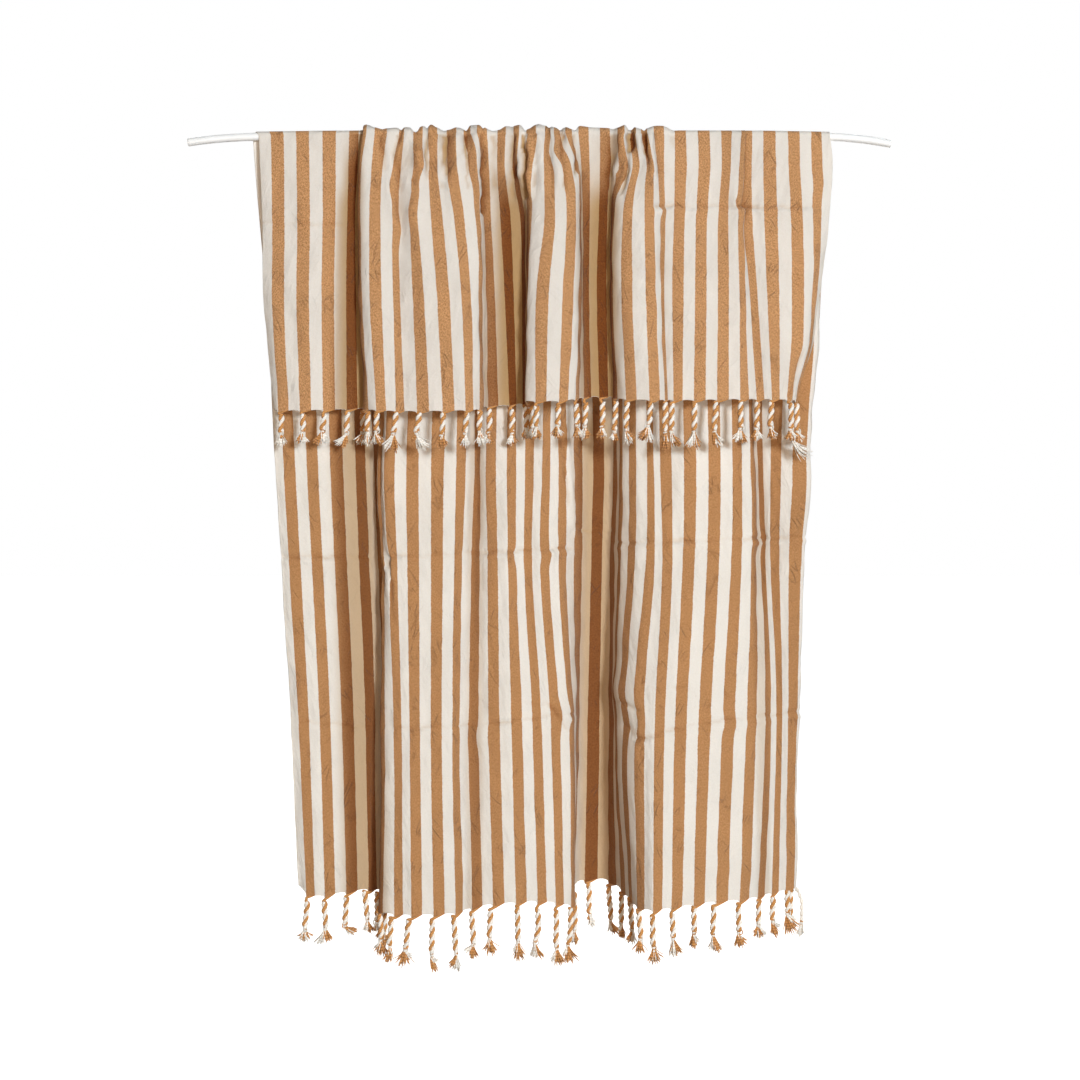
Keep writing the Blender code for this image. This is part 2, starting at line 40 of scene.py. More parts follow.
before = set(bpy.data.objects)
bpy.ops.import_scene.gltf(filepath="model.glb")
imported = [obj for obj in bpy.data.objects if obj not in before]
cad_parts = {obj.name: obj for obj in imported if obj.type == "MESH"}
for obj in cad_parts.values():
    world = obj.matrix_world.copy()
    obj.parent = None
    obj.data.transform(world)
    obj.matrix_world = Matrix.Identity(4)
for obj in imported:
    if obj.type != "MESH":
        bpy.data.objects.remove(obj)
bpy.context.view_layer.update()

PAIR = 0.040  # width of a stripe pair of the cloth: one dark stripe and one pale one
UNIT = PAIR / 26.0  # drawing unit of the fold tables
DRAWING = 1080.0  # width and height of the drawing, units
MID_X = 0.5 * DRAWING  # middle of the rod in the drawing, units to the right
AXIS_Y = 135.5  # rod axis at its middle in the drawing, units down
CREST_Y = 130.0  # the cloth's crest over the rod in the drawing, units down
VIEW_DISTANCE = 2.8  # the drawing shows the towel as seen from here, in front of the rod
EYE_DROP = (0.5 * DRAWING - AXIS_Y) * UNIT  # height of the eye below the rod axis
PAIRS = 33  # dark stripes across the cloth
ACROSS = PAIRS + 0.5  # width of the cloth in stripe pairs
FRONT_LONG, SADDLE_LONG, BACK_LONG = 0.425, 0.025, 1.170  # lengths along the cloth
LYING = 5.1  # middle of the cloth above the rod axis where it lies on the rod, units
BEHIND = 0.45  # how far the gathers stand off the rod behind it, over how far they do in front
CORNER = 0.22  # half width of the rounding of a fold, in stripe pairs
FULLNESS = 1.18  # depth of the folds as built over the depth in the tables
AWAY = np.array([0.0, 1.0, 0.0])  # away from the viewer


@dataclass(frozen=True)
class Fold:
    """One row of a fold table.

    Args:
        across: place across the cloth in stripe pairs, from the left selvedge.
        x: drawing position to the right at each level of the table, top to hem.
        out: how far in front of the rod axis it is at each level, in units.
        hem: drawing height of the hem here.
        lift: how far the cloth stands off the rod above it (front table only).
        skew: how far it moves to the right on its way over the rod (front table only).
        swell: how far its upper part stands to the right (back table only).
    """

    across: float
    x: tuple[float, ...]
    out: tuple[float, ...]
    hem: float
    lift: float = 0.0
    skew: float = 0.0
    swell: float = 0.0


# Front fall. Levels down the fall as shares of its drop.
FRONT_LEVELS = (0.0, 0.106, 0.294, 0.577, 1.0)
FRONT = (
    #    across      rod    knots  upper  middle hem       rod   knots upper middle hem    hem   lift, skew
    Fold(0.00, (260.0, 260.5, 262.0, 263.5, 273.5), (5.1, 7.0, 7.0, 7.0, 8.0), 410.0, 0.0, -7.5),
    Fold(0.50, (271.5, 271.5, 271.5, 271.5, 277.5), (5.1, 8.0, 9.0, 11.0, 13.0), 410.5, 0.0, -5.0),
    Fold(2.00, (309.5, 309.5, 310.0, 309.0, 311.0), (5.1, 8.0, 11.0, 14.0, 16.0), 410.0),
    Fold(3.50, (350.0, 349.0, 348.0, 346.5, 347.0), (5.1, 6.0, 7.0, 8.0, 9.0), 409.0),
    Fold(4.00, (359.5, 358.0, 355.0, 356.0, 358.0), (5.1, 5.0, 5.0, 4.0, 4.0), 408.5),
    Fold(4.60, (367.0, 368.0, 366.0, 366.0, 368.0), (6.5, 4.5, 3.0, 2.0, 2.0), 408.0, 1.0),
    Fold(5.45, (363.5, 358.0, 357.5, 358.5, 362.5), (13.0, 14.0, 14.0, 14.5, 15.0), 409.0, 4.5),
    Fold(6.00, (367.5, 361.0, 360.0, 361.5, 368.0), (15.0, 17.0, 19.0, 20.0, 22.0), 409.5, 6.0),
    Fold(6.50, (375.0, 372.0, 369.0, 369.0, 376.0), (10.0, 15.0, 20.0, 23.0, 25.0), 410.0, 2.5),
    Fold(7.50, (401.0, 394.0, 392.0, 394.0, 396.0), (12.0, 13.0, 17.0, 20.0, 23.0), 411.0, 3.2),
    Fold(8.00, (404.5, 401.0, 398.0, 399.0, 404.0), (13.0, 11.0, 14.0, 17.0, 21.0), 411.0, 3.5),
    Fold(8.60, (416.0, 416.0, 413.0, 415.5, 420.0), (12.0, 17.0, 20.0, 22.0, 25.0), 411.0, 1.5),
    Fold(9.00, (424.0, 421.0, 418.0, 423.5, 429.0), (10.0, 15.0, 21.0, 24.0, 27.0), 411.0, 4.0),
    Fold(9.50, (428.5, 428.5, 431.0, 437.0, 443.0), (13.0, 12.0, 19.0, 24.0, 28.0), 410.5, 6.0),
    Fold(10.50, (447.0, 446.5, 454.0, 461.5, 466.0), (6.0, 12.0, 20.0, 25.0, 28.0), 410.0),
    Fold(11.00, (457.0, 457.0, 463.5, 471.0, 473.5), (12.0, 16.0, 20.0, 23.0, 25.0), 410.0, 3.5),
    Fold(11.50, (464.0, 468.5, 476.0, 480.0, 479.5), (8.0, 13.0, 17.0, 19.0, 20.0), 409.0, 0.3),
    Fold(12.10, (472.0, 478.0, 481.0, 483.0, 483.5), (9.0, 13.0, 14.0, 14.0, 14.0), 407.0, 4.5),
    Fold(12.60, (478.5, 482.0, 483.5, 487.0, 489.0), (12.0, 9.0, 8.0, 8.0, 8.0), 406.0, 5.5),
    Fold(13.50, (498.0, 497.5, 500.0, 504.5, 510.0), (5.5, 6.0, 5.5, 5.5, 6.0), 405.0),
    Fold(14.50, (514.0, 512.0, 520.5, 522.5, 523.0), (9.0, 6.5, 5.0, 5.0, 5.5), 403.5, 4.2),
    Fold(15.00, (519.0, 517.5, 525.0, 525.0, 528.0), (12.0, 10.0, 9.0, 8.5, 8.0), 403.0, 5.0),
    Fold(15.50, (526.0, 523.5, 527.0, 526.0, 528.5), (9.0, 13.0, 15.0, 15.0, 15.0), 402.0, 1.2),
    Fold(16.00, (536.0, 532.5, 530.5, 526.5, 524.0), (14.0, 17.0, 22.0, 25.0, 27.0), 401.0, 6.5),
    Fold(16.50, (545.5, 544.5, 545.0, 536.0, 535.5), (9.0, 18.0, 25.0, 29.0, 31.0), 401.0, 4.0),
    Fold(17.00, (550.5, 551.5, 555.0, 549.0, 546.0), (14.0, 19.0, 26.0, 31.0, 33.0), 401.0, 4.0),
    Fold(17.50, (553.5, 560.5, 567.0, 563.0, 559.5), (10.0, 21.0, 25.0, 29.0, 31.0), 401.0, 3.6),
    Fold(18.00, (560.0, 571.5, 576.5, 574.5, 568.0), (7.0, 18.0, 21.0, 25.0, 29.0), 400.0, 2.6),
    Fold(18.50, (565.0, 577.0, 580.5, 580.0, 575.5), (11.0, 14.0, 16.0, 20.0, 25.0), 399.0, 3.2),
    Fold(19.10, (573.0, 579.5, 582.0, 582.5, 579.5), (11.0, 10.0, 10.0, 13.0, 17.0), 398.0, 0.8),
    Fold(19.60, (579.5, 581.0, 582.5, 583.0, 584.5), (6.0, 7.0, 6.0, 7.0, 9.0), 397.0, 4.6),
    Fold(20.50, (600.0, 600.0, 599.0, 596.5, 599.0), (5.1, 4.5, 4.0, 3.0, 3.0), 396.5, 2.6),
    Fold(21.15, (612.5, 613.0, 610.5, 609.5, 611.5), (7.0, 6.5, 6.0, 5.0, 5.0), 397.0, 2.4),
    Fold(21.90, (622.5, 623.0, 612.5, 610.5, 615.5), (13.0, 16.0, 16.0, 16.0, 16.0), 398.5, 5.2),
    Fold(22.50, (631.0, 631.0, 623.0, 621.0, 626.0), (9.0, 18.0, 21.0, 22.0, 23.0), 399.0, 3.4),
    Fold(23.00, (635.0, 637.0, 632.0, 632.0, 636.5), (15.0, 15.0, 22.0, 25.0, 26.0), 399.5, 3.0),
    Fold(23.50, (640.5, 645.0, 645.0, 646.0, 650.0), (10.0, 18.0, 23.0, 26.0, 28.0), 400.0, 1.0),
    Fold(24.00, (646.0, 652.0, 654.0, 656.5, 660.0), (15.0, 19.0, 22.0, 24.0, 26.0), 400.0, 2.6),
    Fold(24.60, (654.5, 657.0, 661.0, 661.5, 665.5), (9.0, 14.0, 16.0, 18.0, 22.0), 400.0, 4.8),
    Fold(25.20, (668.0, 667.5, 667.5, 665.5, 669.0), (7.0, 11.0, 14.0, 18.0, 22.0), 400.0, 2.6),
    Fold(25.80, (681.0, 682.0, 680.5, 679.0, 678.0), (5.1, 11.0, 17.0, 21.0, 24.0), 400.0),
    Fold(27.50, (721.0, 722.0, 718.5, 718.0, 717.0), (5.1, 10.0, 15.0, 19.0, 22.0), 399.5),
    Fold(28.50, (741.0, 739.5, 738.0, 740.0, 740.5), (7.5, 12.0, 17.0, 20.0, 22.0), 399.0),
    Fold(28.95, (745.5, 745.0, 743.8, 745.0, 748.5), (8.0, 11.0, 15.0, 17.0, 20.0), 399.0),
    Fold(29.60, (743.2, 742.6, 742.6, 749.5, 758.5), (5.1, 7.0, 10.0, 15.0, 19.0), 399.0),
    Fold(30.50, (762.5, 763.0, 764.0, 766.5, 772.0), (5.1, 9.0, 14.0, 18.0, 20.0), 399.0),
    Fold(31.50, (787.5, 788.5, 791.0, 792.0, 787.5), (5.1, 9.5, 14.0, 17.5, 19.0), 399.5),
    Fold(32.20, (803.5, 804.5, 807.0, 809.0, 794.0), (5.1, 10.0, 14.0, 16.0, 17.0), 400.0),
    Fold(32.80, (817.5, 818.5, 818.0, 816.0, 797.5), (5.1, 9.0, 12.0, 11.0, 10.0), 401.0),
    Fold(33.50, (829.0, 832.5, 829.5, 820.0, 796.0), (5.1, 7.0, 6.0, 5.5, 6.0), 402.0),
)

# How far the cloth stands off the rod above it, by drawing position to the right.
CREST = (
    (376.0, 2.5), (384.0, 1.7), (392.0, 2.0), (403.0, 3.5), (410.0, 2.6), (416.0, 1.2), (420.0, 3.9),
    (428.0, 4.2), (431.7, 5.8), (436.0, 3.0), (443.0, 0.2), (450.0, 0.4), (456.0, 2.8), (460.0, 2.2),
    (465.0, 0.2), (470.0, 4.8), (479.0, 5.3), (483.0, 5.0), (488.0, 0.6), (496.0, 0.0), (500.0, 0.5),
    (505.0, 4.0), (512.0, 4.0), (520.0, 5.4), (524.5, 1.5), (529.0, 0.8), (534.0, 4.5), (538.6, 6.3),
    (544.0, 4.6), (550.0, 3.8), (560.0, 1.5), (566.5, 3.0), (570.0, 1.2), (573.0, 0.5), (577.0, 3.8),
    (580.6, 4.6), (590.0, 3.0), (611.0, 2.2), (618.0, 2.5), (624.4, 5.3), (631.0, 3.5), (640.0, 0.8),
    (648.0, 1.5), (652.0, 3.8), (656.6, 4.5), (663.0, 4.5), (668.0, 2.6), (674.7, 0.0), (829.0, 0.0),
)

# Back fall. Its top level is the front table's rod level, on the far side of the rod.
BACK_LEVELS = (0.0, 0.45, 0.535, 0.751, 1.0)
BACK = (
    #    across      upper  crease lower  hem        upper   crease lower  hem      hem
    Fold(0.00, (276.0, 280.0, 290.0, 298.5), (-10.0, -10.0, -8.0, -6.0), 885.5, swell=2.6),
    Fold(0.50, (283.5, 287.0, 297.0, 306.0), (-9.0, -8.0, -6.0, -3.0), 893.5, swell=2.0),
    Fold(1.20, (300.5, 304.0, 312.5, 318.5), (-9.5, -8.5, -5.0, -2.0), 896.0),
    Fold(2.20, (323.0, 326.0, 334.0, 339.5), (-10.5, -9.5, -6.5, -4.0), 892.5),
    Fold(3.50, (356.0, 358.5, 365.0, 369.0), (-15.0, -15.0, -12.0, -10.0), 888.5),
    Fold(4.10, (368.0, 371.0, 376.5, 377.5), (-19.0, -20.0, -18.0, -17.0), 889.0),
    Fold(5.30, (386.0, 390.0, 394.0, 395.0), (-44.0, -45.0, -43.0, -42.0), 892.5),
    Fold(5.75, (395.0, 399.0, 402.0, 403.0), (-41.0, -41.0, -38.0, -36.0), 894.0),
    Fold(6.50, (385.5, 389.5, 391.0, 389.5), (-27.0, -23.0, -16.0, -12.0), 900.0),
    Fold(7.45, (376.5, 379.5, 380.5, 377.5), (-13.0, -9.0, 1.0, 11.0), 909.0),
    Fold(7.95, (381.5, 383.0, 384.0, 381.5), (-15.0, -10.0, 5.0, 18.0), 912.5),
    Fold(8.50, (383.0, 386.5, 393.5, 394.5), (-6.0, -2.0, 8.0, 21.0), 914.0),
    Fold(9.50, (406.0, 407.0, 409.0, 411.0), (-7.0, -2.0, 10.0, 24.0), 915.0),
    Fold(11.50, (456.0, 455.0, 452.5, 456.0), (-8.0, -3.0, 8.0, 21.0), 913.0),
    Fold(12.00, (465.0, 462.5, 459.5, 463.0), (-12.0, -7.0, 3.0, 16.0), 910.5),
    Fold(12.60, (476.0, 474.0, 471.0, 474.0), (-22.0, -16.0, -5.0, 8.0), 907.0),
    Fold(13.50, (485.0, 487.0, 488.0, 493.0), (-12.0, -8.0, 0.0, 11.0), 903.5),
    Fold(14.50, (507.0, 508.0, 511.0, 516.0), (-8.0, -4.0, 3.0, 12.0), 902.0),
    Fold(15.50, (525.0, 524.0, 532.0, 538.0), (-15.0, -12.0, -5.0, 2.0), 900.5),
    Fold(16.50, (542.0, 539.5, 550.0, 556.0), (-13.0, -10.0, -7.0, -4.0), 902.5),
    Fold(17.60, (560.0, 559.5, 570.0, 573.5), (-21.0, -20.0, -14.0, -9.0), 905.5),
    Fold(18.10, (567.5, 566.5, 574.0, 576.5), (-27.0, -27.0, -22.0, -17.0), 902.0),
    Fold(18.80, (578.5, 578.5, 577.0, 572.0), (-38.0, -38.0, -40.0, -34.0), 890.0),
    Fold(19.30, (589.0, 587.5, 583.5, 580.0), (-44.0, -46.0, -48.0, -46.0), 879.5),
    Fold(20.30, (611.0, 609.0, 607.0, 605.0), (-46.0, -49.0, -52.0, -50.0), 878.5),
    Fold(20.90, (617.0, 615.0, 613.0, 615.0), (-38.0, -40.0, -42.0, -38.0), 884.0),
    Fold(22.00, (622.0, 621.0, 615.5, 626.0), (-22.0, -22.0, -20.0, -12.0), 895.0),
    Fold(23.00, (635.5, 635.0, 626.5, 632.0), (-12.0, -9.0, -2.0, 10.0), 903.0),
    Fold(23.60, (649.5, 649.0, 635.0, 638.0), (-9.0, -5.0, 6.0, 21.0), 907.5),
    Fold(24.50, (660.0, 662.0, 655.0, 653.0), (-12.0, -4.0, 12.0, 32.0), 910.5),
    Fold(25.50, (684.0, 683.0, 675.0, 671.0), (-7.0, -2.0, 10.0, 27.0), 907.5),
    Fold(27.50, (733.0, 732.0, 723.0, 716.0), (-8.0, -5.0, 3.0, 11.0), 901.0),
    Fold(28.60, (753.0, 754.0, 749.5, 742.0), (-11.0, -9.0, -3.0, 3.0), 899.5),
    Fold(29.50, (757.5, 760.0, 765.5, 758.0), (-24.0, -22.0, -10.0, -9.0), 896.5),
    Fold(30.50, (770.0, 769.5, 776.5, 772.0), (-18.0, -18.0, -15.0, -16.0), 893.0, swell=3.0),
    Fold(31.50, (792.0, 789.0, 788.0, 785.5), (-12.0, -12.0, -14.0, -18.0), 889.5, swell=8.0),
    Fold(32.20, (812.5, 808.0, 801.5, 797.0), (-13.0, -14.0, -18.0, -24.0), 887.0, swell=8.0),
    Fold(32.80, (804.5, 800.5, 794.0, 790.0), (-24.0, -25.0, -29.0, -34.0), 886.5, swell=6.0),
    Fold(33.50, (797.0, 791.5, 785.0, 782.0), (-31.0, -32.0, -36.0, -41.0), 886.5, swell=4.0),
)

# The rod's axis, bowed a little and cut square at both ends: drawing position right and down.
ROD_AXIS = (
    (188.0, 142.5), (205.0, 140.2), (225.0, 138.3), (256.0, 136.8), (320.0, 135.9), (430.0, 135.5),
    (540.0, 135.5), (650.0, 135.5), (770.0, 135.9), (832.0, 137.0), (858.0, 139.0), (875.0, 141.2),
    (891.0, 144.0),
)


class Fall(Enum):
    """The two falls of the towel."""

    FRONT = "front"
    BACK = "back"


@dataclass(frozen=True)
class Crease:
    """A line pressed into a fall where the towel lay folded, or a small pucker.

    Args:
        start: drawing position right and down of one end.
        end: the same of the other end.
        deep: depth in metres, away from the viewer; less than nothing is a ridge.
        wide: half of its width in units.
    """

    start: tuple[float, float]
    end: tuple[float, float]
    deep: float
    wide: float = 2.0


CREASES: dict[Fall, tuple[Crease, ...]] = {
    Fall.FRONT: (
        Crease((652.0, 205.0), (822.0, 207.5), 0.0034, 1.9),
        Crease((655.0, 210.0), (822.0, 212.0), -0.0020, 2.2),
        Crease((655.0, 171.0), (706.0, 172.5), 0.0012, 1.8),
        Crease((256.0, 223.0), (345.0, 224.5), 0.0024, 1.9),
        Crease((384.0, 214.0), (440.0, 211.0), 0.0010, 2.0),
        Crease((655.0, 203.0), (664.0, 222.0), 0.0014, 2.0),
        Crease((524.0, 178.0), (534.0, 224.0), 0.0012, 1.8),
        Crease((540.0, 196.0), (556.0, 216.0), 0.0012, 2.0),
        Crease((443.0, 358.0), (455.0, 374.0), 0.0013, 1.6),
        Crease((390.0, 368.0), (398.0, 386.0), 0.0013, 1.6),
        Crease((373.0, 336.0), (384.0, 350.0), 0.0010, 1.6),
        Crease((415.0, 340.0), (424.0, 358.0), 0.0010, 1.6),
        Crease((466.0, 346.0), (473.0, 362.0), 0.0010, 1.6),
        Crease((647.0, 320.0), (661.0, 344.0), 0.0014, 1.7),
        Crease((694.0, 357.0), (706.0, 363.0), 0.0016, 1.7),
        Crease((717.0, 313.0), (729.0, 331.0), 0.0012, 1.7),
        Crease((698.0, 368.0), (702.0, 392.0), 0.0012, 1.7),
        Crease((285.0, 300.0), (296.0, 322.0), 0.0009, 1.7),
        Crease((540.0, 330.0), (552.0, 352.0), 0.0011, 1.8),
        Crease((405.0, 120.0), (394.0, 155.0), 0.0080, 2.4),
        Crease((394.0, 152.0), (401.0, 192.0), 0.0056, 2.2),
        Crease((387.0, 186.0), (398.0, 240.0), -0.0040, 3.0),
        Crease((372.0, 122.0), (371.0, 160.0), -0.0048, 3.5),
        Crease((381.0, 122.0), (384.0, 172.0), 0.0048, 2.6),
        Crease((419.0, 140.0), (420.0, 172.0), -0.0072, 4.0),
        Crease((415.0, 172.0), (415.0, 186.0), 0.0048, 3.0),
        Crease((416.5, 120.0), (416.5, 137.0), 0.0112, 3.0),
        Crease((427.0, 120.0), (427.5, 182.0), 0.0072, 1.8),
        Crease((435.0, 124.0), (437.0, 182.0), -0.0064, 3.4),
        Crease((434.0, 130.0), (435.0, 180.0), 0.0029, 1.0),
        Crease((438.5, 134.0), (441.0, 184.0), 0.0035, 1.0),
        Crease((430.0, 188.0), (448.0, 184.0), 0.0038, 1.6),
        Crease((444.0, 120.0), (446.0, 178.0), 0.0080, 2.2),
        Crease((456.0, 122.0), (457.0, 175.0), -0.0045, 3.4),
        Crease((465.5, 120.0), (468.0, 190.0), 0.0064, 1.8),
        Crease((475.0, 122.0), (477.0, 200.0), -0.0048, 3.0),
        Crease((482.5, 122.0), (484.0, 215.0), 0.0077, 1.8),
        Crease((494.0, 120.0), (494.0, 190.0), 0.0048, 3.0),
        Crease((504.0, 122.0), (504.0, 178.0), -0.0051, 3.6),
        Crease((512.0, 122.0), (513.0, 200.0), 0.0048, 2.2),
        Crease((518.5, 122.0), (519.0, 180.0), -0.0045, 2.4),
        Crease((524.0, 120.0), (523.5, 200.0), 0.0088, 1.6),
        Crease((529.5, 124.0), (529.0, 198.0), -0.0048, 2.6),
        Crease((536.0, 140.0), (534.0, 205.0), 0.0035, 1.4),
        Crease((541.0, 122.0), (541.5, 190.0), -0.0038, 3.4),
        Crease((549.0, 124.0), (553.0, 200.0), 0.0038, 1.8),
        Crease((559.5, 122.0), (566.0, 190.0), 0.0064, 2.2),
        Crease((573.5, 120.0), (577.0, 175.0), 0.0072, 2.0),
        Crease((612.0, 124.0), (607.0, 190.0), 0.0048, 3.0),
        Crease((624.5, 121.0), (616.0, 180.0), -0.0048, 3.0),
        Crease((631.0, 122.0), (629.0, 153.0), 0.0144, 3.2),
        Crease((629.0, 150.0), (622.0, 196.0), 0.0056, 2.0),
        Crease((636.0, 122.0), (640.0, 160.0), -0.0056, 2.2),
        Crease((642.0, 122.0), (648.0, 168.0), 0.0072, 1.7),
        Crease((648.5, 122.0), (653.0, 176.0), -0.0056, 2.8),
        Crease((663.0, 122.0), (661.0, 150.0), -0.0035, 3.4),
        Crease((673.5, 122.0), (672.0, 150.0), 0.0035, 3.4),
        Crease((735.5, 196.0), (741.0, 210.0), 0.0030, 2.0),
        Crease((752.0, 148.0), (768.0, 186.0), 0.0010, 1.8),
        Crease((311.0, 140.0), (322.0, 170.0), 0.0012, 2.2),
        Crease((683.0, 150.0), (690.0, 196.0), 0.0012, 2.0),
        Crease((804.0, 348.0), (789.0, 398.0), 0.0034, 1.8),
    ),
    Fall.BACK: (
        Crease((388.0, 556.0), (394.0, 624.0), 0.0056, 1.6),
        Crease((383.5, 550.0), (388.0, 594.0), -0.0040, 1.8),
        Crease((560.0, 406.0), (569.0, 508.0), 0.0048, 1.8),
        Crease((566.0, 424.0), (574.0, 540.0), -0.0032, 3.0),
        Crease((548.0, 704.0), (569.0, 731.0), 0.0052, 1.8),
        Crease((556.0, 702.0), (573.0, 722.0), -0.0036, 2.0),
        Crease((278.0, 557.0), (374.0, 556.5), 0.0033, 1.9),
        Crease((278.0, 562.0), (374.0, 561.5), -0.0018, 2.2),
        Crease((384.0, 557.0), (480.0, 553.0), 0.0027, 1.9),
        Crease((480.0, 553.0), (574.0, 548.0), 0.0036, 1.9),
        Crease((480.0, 558.0), (574.0, 553.0), -0.0021, 2.2),
        Crease((577.0, 532.0), (614.0, 531.0), 0.0030, 1.9),
        Crease((615.0, 543.0), (700.0, 540.0), 0.0036, 1.9),
        Crease((700.0, 540.0), (812.0, 536.5), 0.0030, 1.9),
        Crease((615.0, 548.0), (812.0, 541.5), -0.0019, 2.2),
        Crease((290.0, 721.0), (374.0, 727.0), 0.0024, 1.9),
        Crease((388.0, 729.0), (480.0, 725.0), 0.0027, 1.9),
        Crease((480.0, 725.0), (576.0, 713.0), 0.0030, 1.9),
        Crease((634.0, 740.0), (700.0, 723.0), 0.0036, 1.9),
        Crease((700.0, 723.0), (802.0, 711.0), 0.0030, 1.9),
        Crease((634.0, 745.0), (802.0, 716.0), -0.0019, 2.2),
        Crease((652.0, 689.0), (690.0, 687.0), 0.0030, 1.8),
        Crease((613.0, 700.0), (642.0, 712.0), 0.0033, 2.2),
        Crease((622.0, 722.0), (640.0, 742.0), 0.0033, 2.2),
        Crease((516.0, 700.0), (566.0, 708.0), 0.0018, 2.0),
    ),
}


@dataclass(frozen=True)
class Nudge:
    """A small pouch or pinch of a fall where the cloth is gathered or was folded.

    Args:
        place: drawing position right and down of its middle.
        reach: its half width and half height in units.
        aside: how far it moves the cloth to the right, in units.
        out: how far it moves the cloth to the front, in units.
    """

    place: tuple[float, float]
    reach: tuple[float, float]
    aside: float
    out: float = 0.0


NUDGES: dict[Fall, tuple[Nudge, ...]] = {
    Fall.FRONT: (
        Nudge((422.0, 164.0), (8.0, 11.0), 2.6, 3.0),
        Nudge((415.0, 181.0), (7.0, 7.0), -1.8, -1.5),
        Nudge((392.0, 186.0), (8.0, 12.0), -2.4, 1.5),
        Nudge((399.0, 230.0), (8.0, 12.0), 2.6),
        Nudge((413.0, 214.0), (8.0, 14.0), -2.2, 1.0),
        Nudge((472.0, 150.0), (7.0, 13.0), 2.2, 1.5),
        Nudge((470.0, 190.0), (6.0, 12.0), 1.4),
        Nudge((530.0, 140.0), (8.0, 16.0), 2.4, 3.0),
        Nudge((527.0, 184.0), (6.0, 14.0), -1.8),
        Nudge((556.0, 174.0), (8.0, 14.0), 2.2, 1.5),
        Nudge((558.0, 153.0), (9.0, 9.0), -4.5, 1.5),
        Nudge((628.0, 138.0), (6.0, 10.0), -2.4, -3.0),
        Nudge((622.0, 164.0), (9.0, 14.0), 2.8, 3.0),
        Nudge((616.0, 196.0), (7.0, 14.0), -2.2),
        Nudge((640.0, 168.0), (7.0, 12.0), 2.6, 2.0),
        Nudge((659.0, 213.0), (6.0, 6.0), 2.4),
        Nudge((738.0, 202.0), (5.0, 6.0), -2.0, 1.0),
        Nudge((742.0, 214.0), (5.0, 7.0), 1.6),
        Nudge((700.0, 208.0), (20.0, 5.0), 0.9),
        Nudge((818.0, 184.0), (8.0, 10.0), 2.2, 1.0),
        Nudge((808.0, 346.0), (16.0, 26.0), 4.5),
    ),
    Fall.BACK: (
        Nudge((516.0, 556.0), (7.0, 8.0), -2.4, 1.5),
        Nudge((546.0, 556.0), (9.0, 8.0), 2.4, 1.5),
        Nudge((386.0, 568.0), (6.0, 18.0), 2.6, 3.0),
        Nudge((570.0, 500.0), (10.0, 44.0), 1.2, 2.0),
        Nudge((563.0, 716.0), (9.0, 14.0), 4.0, 4.0),
        Nudge((632.0, 724.0), (12.0, 18.0), 3.4, 2.0),
        Nudge((620.0, 690.0), (12.0, 16.0), -3.0),
        Nudge((728.0, 722.0), (16.0, 9.0), 2.4),
        Nudge((759.0, 541.0), (7.0, 10.0), 2.2, 1.0),
        Nudge((816.0, 325.0), (12.0, 70.0), 2.5),
        Nudge((478.0, 738.0), (10.0, 14.0), -2.4, 1.0),
    ),
}


@dataclass(frozen=True)
class ShadeStrip:
    """A strip of painted shade on a fall, where it lies between folds and gets its light only from the
    stripes beside it.

    Args:
        start: drawing position right and down of its upper end.
        end: the same of its lower end.
        reach: its half width in units.
        depth: how strong its painted shade is, from 0 to 1.
    """

    start: tuple[float, float]
    end: tuple[float, float]
    reach: float
    depth: float


# Strips of painted shade between the folds of each fall.
SHADE_STRIPS: dict[Fall, tuple[ShadeStrip, ...]] = {
    Fall.FRONT: (
        ShadeStrip((354.0, 156.0), (350.0, 412.0), 10.0, 0.74),
        ShadeStrip((346.0, 190.0), (341.0, 412.0), 9.0, 0.66),
        ShadeStrip((510.0, 186.0), (512.0, 412.0), 14.0, 0.94),
        ShadeStrip((604.0, 190.0), (602.0, 404.0), 15.0, 0.96),
        ShadeStrip((585.0, 200.0), (588.0, 404.0), 9.0, 0.50),
    ),
    Fall.BACK: (
        ShadeStrip((354.0, 400.0), (366.0, 900.0), 22.0, 0.80),
        ShadeStrip((596.0, 400.0), (597.0, 900.0), 20.0, 0.80),
        ShadeStrip((476.0, 400.0), (474.0, 900.0), 8.0, 0.35),
        ShadeStrip((758.0, 400.0), (764.0, 900.0), 7.0, 0.35),
    ),
}


@dataclass(frozen=True)
class Tuft:
    """Loose threads of one colour below a tassel's knot.

    Args:
        turn: degrees by which they swing to the right of straight down.
        spread: half of the angle that they fan out over, in degrees.
        long: length in units.
    """

    turn: float
    spread: float
    long: float


@dataclass(frozen=True)
class Tassel:
    """One twisted tassel of a fringe.

    Args:
        stripe: number of the dark stripe it hangs from, from the left.
        top: drawing position right and down of the upper end of its rope.
        end: the same of the rope's lower end, where the knot is.
        dark: its dark threads below the knot.
        pale: its pale threads below the knot.
        loop: how far its pale loop stands to the right of the knot, in units.
        bow: how far its rope bows to the right, in units.
        behind: how far it hangs behind the hem, in units.
    """

    stripe: int
    top: tuple[float, float]
    end: tuple[float, float]
    dark: Tuft
    pale: Tuft
    loop: float = 0.0
    bow: float = 0.0
    behind: float = 0.0


